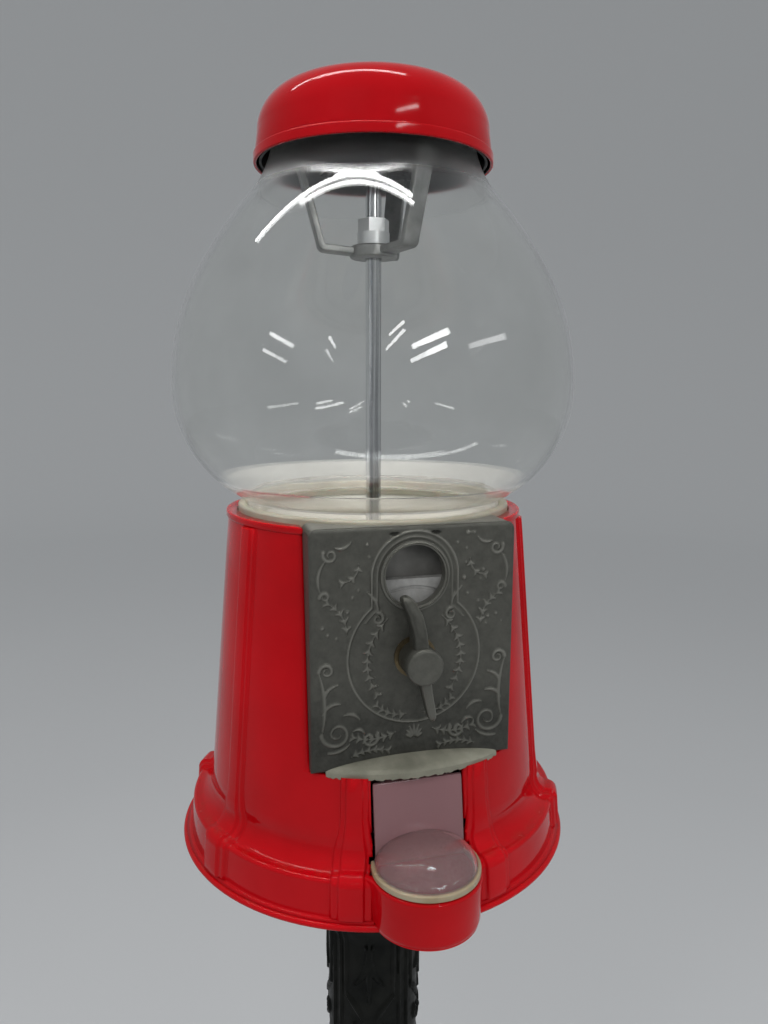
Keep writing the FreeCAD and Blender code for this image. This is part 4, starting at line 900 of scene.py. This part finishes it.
# Flat rim: a rounded bar carried round the cup from one side of the panel to the other
def doorRim():
    d = door
    reach = math.acos((doorLine(d["rimZ"]) - 0.4 - d["centreY"]) / -d["rim"])
    out = flatRing(np.linspace(-reach, reach, 80) - np.pi / 2)
    places = d["rim"] * out + np.array([0, d["centreY"], d["rimZ"] - d["rimTall"]])
    points, faces = sweptGrid(places, out, upwards, roundedLoop(d["rimHalf"], d["rimTall"], 0.7))
    return points, faces[:, ::-1]


# Knuckle tube on the pin, and the web that joins it to the panel
def doorKnuckle():
    d = door
    half, size, edge = d["knuckleHalf"], d["knuckle"], 0.4
    angle = roundAngles(32)
    x = np.array([-half, -half, edge - half, half - edge, half, half])[:, None]
    radius = np.array([d["pin"], size - edge, size, size, size - edge, d["pin"]])[:, None]
    y, z = d["hingeY"], d["hingeZ"]
    tube = np.stack([x + 0 * angle, y + radius * np.cos(angle), z + radius * np.sin(angle)], -1)
    web = np.array([[0.0, d["topY"] + d["thick"] / 2, z], [0.0, y, z]])
    bar = sweptGrid(web, toRight, upwards, roundedLoop(half, 0.9, 0.5))
    return joinGrids((tube, gridFaces(*tube.shape[:2], True)), bar)


bubble = addPiece("doorBubble", *doorBubble(), "clear_plastic", "door", ["chute_door"], "doorBubble",
                  sharp=50)
addWall(bubble, door["bubbleWall"])
addPiece("doorPanel", *doorPanel(), "clear_plastic", "door")
addPiece("doorRim", *doorRim(), "clear_plastic", "door", lookName="agedRim")
addPiece("doorKnuckle", *doorKnuckle(), "clear_plastic", "door")
print("door done")


# Spider bracket

spider = {"azimuths": (26.0, 146.0, 266.0), "hub": 12.0, "hubLow": 300.2, "hubHigh": 306.0, "bore": 4.3,
          "ringIn": 38.2, "ringOut": 50.8, "ringLow": 350.2, "ringHigh": 353.2, "darkFrom": 347.0,
          "legHalf": 5.0, "legThick": 1.6,
          "line": ((6.0, 302.4), (25.0, 304.0), (27.4, 306.6), (39.6, 351.6))}


def washerGrid(inner, outer, low, high, edge, segments):
    line = profilePath((inner, low), (outer - edge, low), ((outer, low + edge), quarter),
                       (outer, high - edge), ((outer - edge, high), quarter), (inner, high))
    return turnedGrid(line, segments, closed=True)


# Cast bracket: a turned hub and ring, and three flat legs carried out, round a knee and up
def spiderGrids():
    s = spider
    grids = [washerGrid(s["bore"], s["hub"], s["hubLow"], s["hubHigh"], 1.2, 64),
             washerGrid(s["ringIn"], s["ringOut"], s["ringLow"], s["ringHigh"], 0.8, 96)]
    first, knee, bend, top = s["line"]
    line = profilePath(first, knee, (bend, 0.2), top, arcPoints=8)
    line = np.concatenate([np.linspace(*line[:2], 6)[:-1], line[1:-1], np.linspace(*line[-2:], 9)[1:]])
    run = np.gradient(line, axis=0)
    run /= np.linalg.norm(run, axis=1, keepdims=True)
    strap = roundedLoop(s["legHalf"], s["legThick"], 0.7)
    for angle in np.radians(s["azimuths"]):
        out = np.array([math.sin(angle), -math.cos(angle), 0.0])
        aside = np.array([math.cos(angle), math.sin(angle), 0.0])
        normal = run[:, 1:] * out - run[:, :1] * upwards
        places = line[:, :1] * out + line[:, 1:] * upwards - 0.4 * normal
        grids.append(sweptGrid(places, aside, normal, strap))
    return joinGrids(*grids)


spiderPoints, spiderFaces = spiderGrids()
shaded = faceMiddles(spiderPoints, spiderFaces)[:, 2] > spider["darkFrom"]      # painted shade: the ring and leg tops under the lid take the black plastic look
addPiece("spider", spiderPoints, spiderFaces, "zinc", replaces=["spider_bracket"], sharp=45,
         patch=(shaded, "blackPlastic"))
print("bracket done")


# Stand

column = {"top": -5.0, "bottom": -471.0, "bore": 6.0, "head": 30.0, "lip": 4.0, "neck": 20.0,
          "neckDrop": 18.0, "vase": 27.3, "vaseTop": 62.0, "vaseFoot": 124.0, "waist": 18.0, "ringDrop": 28.0,
          "ring": 21.5, "ringHalf": 4.0, "shaftTop": 16.5, "shaftFoot": 19.5, "foot": 27.0, "footRing": 34.0,
          "footRingProud": 4.5, "run": 8.0, "ringRun": 12.0, "hollow": -0.17, "swell": 0.12, "panels": 4,
          "panelTurn": 9.0, "flutes": 8, "fluteDeep": 1.7, "fluteFoot": (48.0, 60.0),
          "fluteHead": (6.0, 18.0), "carveDeep": 1.6, "carveRise": 1.5, "carveWiden": 1.25,
          "carveFoot": (-36.0, -30.0), "carveHead": (46.0, 38.0), "bossZ": -25.0, "boss": 2.4, "bossRise": 1.8,
          "scroll": (5.6, -23.5, 5.4, 50, 1.25, -1),
          "stems": (((14.5, 40.0), (14.5, -2.0), 0.0, 1.3), ((14.5, -2.0), (3.5, -16.0), 0.06, 1.5),
                    ((18.5, 40.0), (18.5, -34.0), 0.0, 1.0), ((2.0, 30.0), (9.0, 6.0), 0.16, 1.4),
                    ((0.0, 34.0), (0.0, -4.0), 0.0, 1.6))}


# Line of radius and height from the foot over its ring, the shaft, the upper ring and the vase to the head
def columnProfile():
    c = column
    top, bottom, run, half, vase = c["top"], c["bottom"], c["run"], c["ringHalf"], c["vase"]
    shaftFoot, hollow, swell = c["shaftFoot"], c["hollow"], c["swell"]
    vaseTop, vaseFoot = top - c["vaseTop"], top - c["vaseFoot"]
    ring, footRing = vaseFoot - c["ringDrop"], bottom + c["footRing"]
    ringEdge, footEdge = c["ring"] - 1, shaftFoot + c["footRingProud"] - 1
    shaftLow, shaftHigh = footRing + run, ring - c["ringRun"]
    stops = np.linspace(0, 1, 70)[1:]
    shaft = [(shaftFoot + t * (c["shaftTop"] - shaftFoot), shaftLow + t * (shaftHigh - shaftLow))
             for t in stops]
    return profilePath(
        (c["bore"], bottom), (c["foot"], bottom), ((shaftFoot, footRing - run), hollow),
        (footEdge, footRing - half), ((footEdge, footRing + half), 0.3), (shaftFoot, shaftLow), *shaft,
        (ringEdge, ring - half), ((ringEdge, ring + half), 0.3), (c["waist"], ring + run),
        ((vase, vaseFoot), swell), *[(vase, vaseFoot + t * (vaseTop - vaseFoot)) for t in stops],
        ((c["neck"], top - c["neckDrop"]), swell), ((c["head"], top - c["lip"]), hollow), (c["head"], top),
        (c["bore"], top), arcPoints=12)


# Relief on the vase, unrolled: framed panels that end in a point, with a curl and a boss below
def vaseRelief(azimuth, z):
    c = column
    z = z - c["top"] + (c["vaseTop"] + c["vaseFoot"]) / 2
    width = 2 * np.pi * c["vase"] / c["panels"]
    x = np.mod(azimuth * c["vase"] + width / 2 + c["panelTurn"], width) - width / 2
    lines = [scrollLine(*c["scroll"])] + [stemLine(*stem) for stem in c["stems"]]
    rise = c["carveRise"] * carved(x, z, lines, c["carveWiden"])
    rise = np.maximum(rise, c["bossRise"] * crestOf(np.hypot(x, z - c["bossZ"]) / c["boss"]))
    return rise * smoothStep(*c["carveFoot"], z) * smoothStep(*c["carveHead"], z)


# Column turned about the axis, with round flutes in the shaft and the vase's relief
def columnGrid():
    c = column
    profile = columnProfile()
    azimuth = roundAngles(288)
    radius, height = profile[:, :1] + 0 * azimuth, profile[:, 1:] + 0 * azimuth
    shaftHigh = c["top"] - c["vaseFoot"] - c["ringDrop"] - c["ringRun"]
    onShaft = smoothStep(*c["fluteFoot"], height - c["bottom"]) * (radius > 10)
    onShaft = onShaft * smoothStep(*c["fluteHead"], shaftHigh - height)
    flute = np.abs(np.sin(azimuth * c["flutes"] / 2))
    radius = radius - c["fluteDeep"] * onShaft * crestOf(1.15 * (1 - flute))
    isVase = (height < c["top"] - c["vaseTop"] + 12) & (height > c["top"] - c["vaseFoot"] - 8) & (radius > 20)
    radius = radius + isVase * (vaseRelief(azimuth + 0 * height, height) - c["carveDeep"])
    return roundPoints(radius, azimuth, height), gridFaces(*radius.shape, True, True)


addPiece("column", *columnGrid(), "black_iron", replaces=["stand_column"], sharp=45)

base = {"radius": 150.0, "rim": 5.0, "top": 74.0, "floor": -545.0, "wall": 7.0, "bell": 62.0,
        "bellDrop": 41.0, "tread": 108.0, "treadDrop": 50.0, "bellBow": -0.2, "treadBow": 0.01,
        "rimBow": 0.07, "foot": 27.0, "bore": 5.4, "lobes": 8, "scallop": 5.0, "leafRise": 1.8,
        "veinRise": 0.9, "beads": 48, "beadRing": 122.0, "bead": 2.6, "beadRise": 1.6}


# Cast foot: bell, tread and lobed rim turned about the axis, with leaves on the bell and beads on the tread
def baseGrid():
    b = base
    radius, rim, wall, bore = b["radius"], b["rim"], b["wall"], b["bore"]
    bell, tread, foot, floor = b["bell"], b["tread"], b["foot"], b["floor"]
    high = floor + b["top"]
    bellZ, treadZ = high - b["bellDrop"], high - b["treadDrop"]
    outer = profilePath(
        (radius - wall, floor), (radius - 0.8, floor), ((radius, floor + 0.8), quarter),
        (radius, floor + rim - 1.0), ((radius - 1.0, floor + rim), quarter), ((tread, treadZ), b["rimBow"]),
        ((bell, bellZ), b["treadBow"]), ((foot, high), b["bellBow"]), (bore, high), arcPoints=30)
    inner = profilePath(
        (bore, high - 2 * wall), (foot - wall / 2, high - 2 * wall),
        ((bell - wall, bellZ - wall), -b["bellBow"]), ((tread - wall / 2, treadZ - wall), -b["treadBow"]),
        ((radius - wall, floor + 2.0), -b["rimBow"]), arcPoints=12)
    profile = np.concatenate([outer, inner])
    azimuth = roundAngles(320)
    isOut = (np.arange(len(profile)) < len(outer))[:, None] & (profile[:, 1:] > floor + rim + 1)
    out, height = profile[:, :1] + 0 * azimuth, profile[:, 1:] + 0 * azimuth
    lobe, vein = np.abs(np.cos(azimuth * b["lobes"] / 2)), np.abs(np.sin(azimuth * b["lobes"] / 2))
    notch = b["scallop"] * (1 - np.sqrt(lobe)) * smoothStep(tread, radius, out)
    along = np.sin(np.pi * np.clip((out - foot - 4) / (bell - foot + 30), 0, 1))
    leaf = smoothStep(0.9 * along**0.7, 0.9 * along**0.7 - 0.25, vein) * along
    rise = b["leafRise"] * leaf + b["veinRise"] * leaf * smoothStep(0.12, 0.0, vein)
    beadTurn = np.abs(np.mod(azimuth * b["beads"] / (2 * np.pi), 1) - 0.5)
    bead = crestOf(np.abs(out - b["beadRing"]) / b["bead"]) * crestOf(beadTurn * 2.6)
    rise = rise + b["beadRise"] * bead
    points = roundPoints(out - notch, azimuth, height + np.where(isOut, rise, 0))
    return points, gridFaces(*out.shape, True, True)


addPiece("standFoot", *baseGrid(), "black_iron", replaces=["stand_base"], sharp=45)
print("stand done")


# Stage, light and camera

stage = {"flat": 4.0, "bend": 2.0, "height": 6.0, "floorColor": (0.52, 0.525, 0.53),
         "wallColor": (0.69, 0.695, 0.695), "air": (0.82, 0.85, 0.88, 1), "airGlow": 0.42, "segments": 160}


# Grey that grows paler from the floor's middle to the wall
def stageShader(name):
    tree = newShader(name, Roughness=0.8, Specular_IOR_Level=0.2)
    far = addNode(tree, "VectorMath", {"operation": "LENGTH"}, i0=placeOn(tree)).outputs["Value"]
    share = ranged(tree, far, 1.2, stage["flat"])
    wire(tree, Base_Color=mixed(tree, share, stage["floorColor"], stage["wallColor"]))


# Floor that curves up into a wall all round: a line of radius and height in metres, turned about the axis
def sweep():
    flat, bend = stage["flat"], stage["bend"]
    line = profilePath((0.001, 0.0), (flat / 2, 0.0), (flat, 0.0), ((flat + bend, bend), quarter),
                       (flat + bend, stage["height"]), arcPoints=24)
    points, _ = turnedGrid(line, stage["segments"])
    for name, rows in (("studioFloor", points[:3]), ("studioWall", points[2:])):
        mesh = bpy.data.meshes.new(name)
        mesh.from_pydata(rows.reshape(-1, 3).tolist(), [], gridFaces(*rows.shape[:2], True).tolist())
        mesh.polygons.foreach_set("use_smooth", np.ones(len(mesh.polygons), bool))
        stageShader(name)
        mesh.materials.append(look[name])
        made = bpy.data.objects.new(name, mesh)
        scene.collection.objects.link(made)
        if name == "studioWall":      # the wall is a backdrop alone: lamps behind it still light the machine
            made.visible_shadow = made.visible_glossy = made.visible_diffuse = False


sweep()
scene.world = bpy.data.worlds.new("studioAir")
scene.world.use_nodes = True
air = scene.world.node_tree.nodes["Background"].inputs
air[0].default_value = stage["air"]
air[1].default_value = stage["airGlow"]

# Panels: place, target, size, power and colour
# Tubes under the ceiling: both ends, width, glow, and if they light more than the glass
aim = (0.0, 0.0, 0.75)
lamps = {
    "key": ((-1.0, -1.3, 1.9), aim, (1.2, 1.2), 20.0, (1, 1, 1)),
    "fill": ((1.4, -0.9, 1.2), aim, (1.2, 1.2), 9.0, (0.95, 0.98, 1.0)),
    "rod": ((-1.24, -0.85, 0.55), (0.0, 0.0, 0.8), (1.0, 1.4), 60.0, (1, 1, 1)), "ceiling": 2.4,
    "tubes": (("overTube", (-1.38, 0.85), (0.42, -0.16), 0.06, 75.0, True),
              ("nextTube", (-0.78, 0.39), (0.42, -0.25), 0.05, 75.0, True),
              ("leftTube", (-3.91, -1.18), (-4.41, -2.73), 0.12, 50.0, False),
              ("leftFar", (-5.91, -1.52), (-7.61, -4.26), 0.16, 50.0, False),
              ("midTube", (-2.42, -3.04), (-2.86, -4.12), 0.10, 40.0, False),
              ("midFar", (-3.4, -4.11), (-4.53, -6.36), 0.12, 40.0, False),
              ("rodTube", (-0.39, -3.68), (0.15, -2.82), 0.08, 50.0, False),
              ("rodFar", (-0.7, -5.19), (0.15, -3.32), 0.10, 50.0, False),
              ("rightTube", (0.54, -4.88), (1.68, -3.19), 0.20, 70.0, True),
              ("rightFar", (0.68, -7.68), (2.08, -4.33), 0.24, 70.0, False),
              ("sideTube", (3.3, -4.12), (4.28, -2.13), 0.20, 16.0, False))}


def addLamp(name, place, target, size, power, color):
    data = bpy.data.lights.new(name, "AREA")
    data.shape = "RECTANGLE"
    data.size, data.size_y = size
    data.energy = power
    data.color = color
    lamp = bpy.data.objects.new(name, data)
    scene.collection.objects.link(lamp)
    lamp.location = place
    lamp.rotation_mode = "QUATERNION"
    lamp.rotation_quaternion = (Vector(target) - Vector(place)).to_track_quat("-Z", "Y")
    lamp.visible_camera = False
    return lamp


# Tube from end to end, its long side along the line between them and its face to the machine
def addTube(name, start, end, wide, glow):
    start, end = (Vector((*place, lamps["ceiling"])) for place in (start, end))
    length, middle = (end - start).length, (start + end) / 2
    along = (end - start).normalized()
    tube = addLamp(name, middle, aim, (length, wide), glow * length * wide, (1, 1, 1))
    back = middle - Vector(aim)
    back = (back - back.dot(along) * along).normalized()
    tube.rotation_quaternion = Matrix((along, back.cross(along), back)).transposed().to_quaternion()
    return tube


# A lamp that shines on a few pieces alone
def shineOn(lamp, *pieces):
    lit = bpy.data.collections.new("lit by " + lamp.name)
    for piece in pieces:
        lit.objects.link(piece)
    lamp.light_linking.receiver_collection = lit


for panel in (addLamp("keyPanel", *lamps["key"]), addLamp("fillPanel", *lamps["fill"])):
    panel.visible_glossy = panel.visible_transmission = False      # soft fill, with no squares on the gloss
shineOn(addLamp("rodPanel", *lamps["rod"]), frame["nodes"]["centre_rod"])
for *tubeSizes, lightsAll in lamps["tubes"]:
    tube = addTube(*tubeSizes)
    if not lightsAll:
        shineOn(tube, glassGlobe, bubble)

view = {"place": (-0.1039, -0.4016, 0.7825), "heading": 15.3, "pitch": -9.2, "roll": 0.18,
        "focalPixels": 788.0, "imageHeight": 1024.0, "sensor": 36.0}
cameraData = bpy.data.cameras.new("camera")
camera = bpy.data.objects.new("camera", cameraData)
scene.collection.objects.link(camera)
cameraData.sensor_width = view["sensor"]
cameraData.lens = view["focalPixels"] / view["imageHeight"] * view["sensor"]
cameraData.clip_start = 0.01
turnOf = (Matrix.Rotation(math.radians(-view["heading"]), 4, "Z")
          @ Matrix.Rotation(math.radians(90 + view["pitch"]), 4, "X")
          @ Matrix.Rotation(math.radians(view["roll"]), 4, "Z"))
camera.matrix_world = Matrix.Translation(view["place"]) @ turnOf
scene.camera = camera
print("stage done")
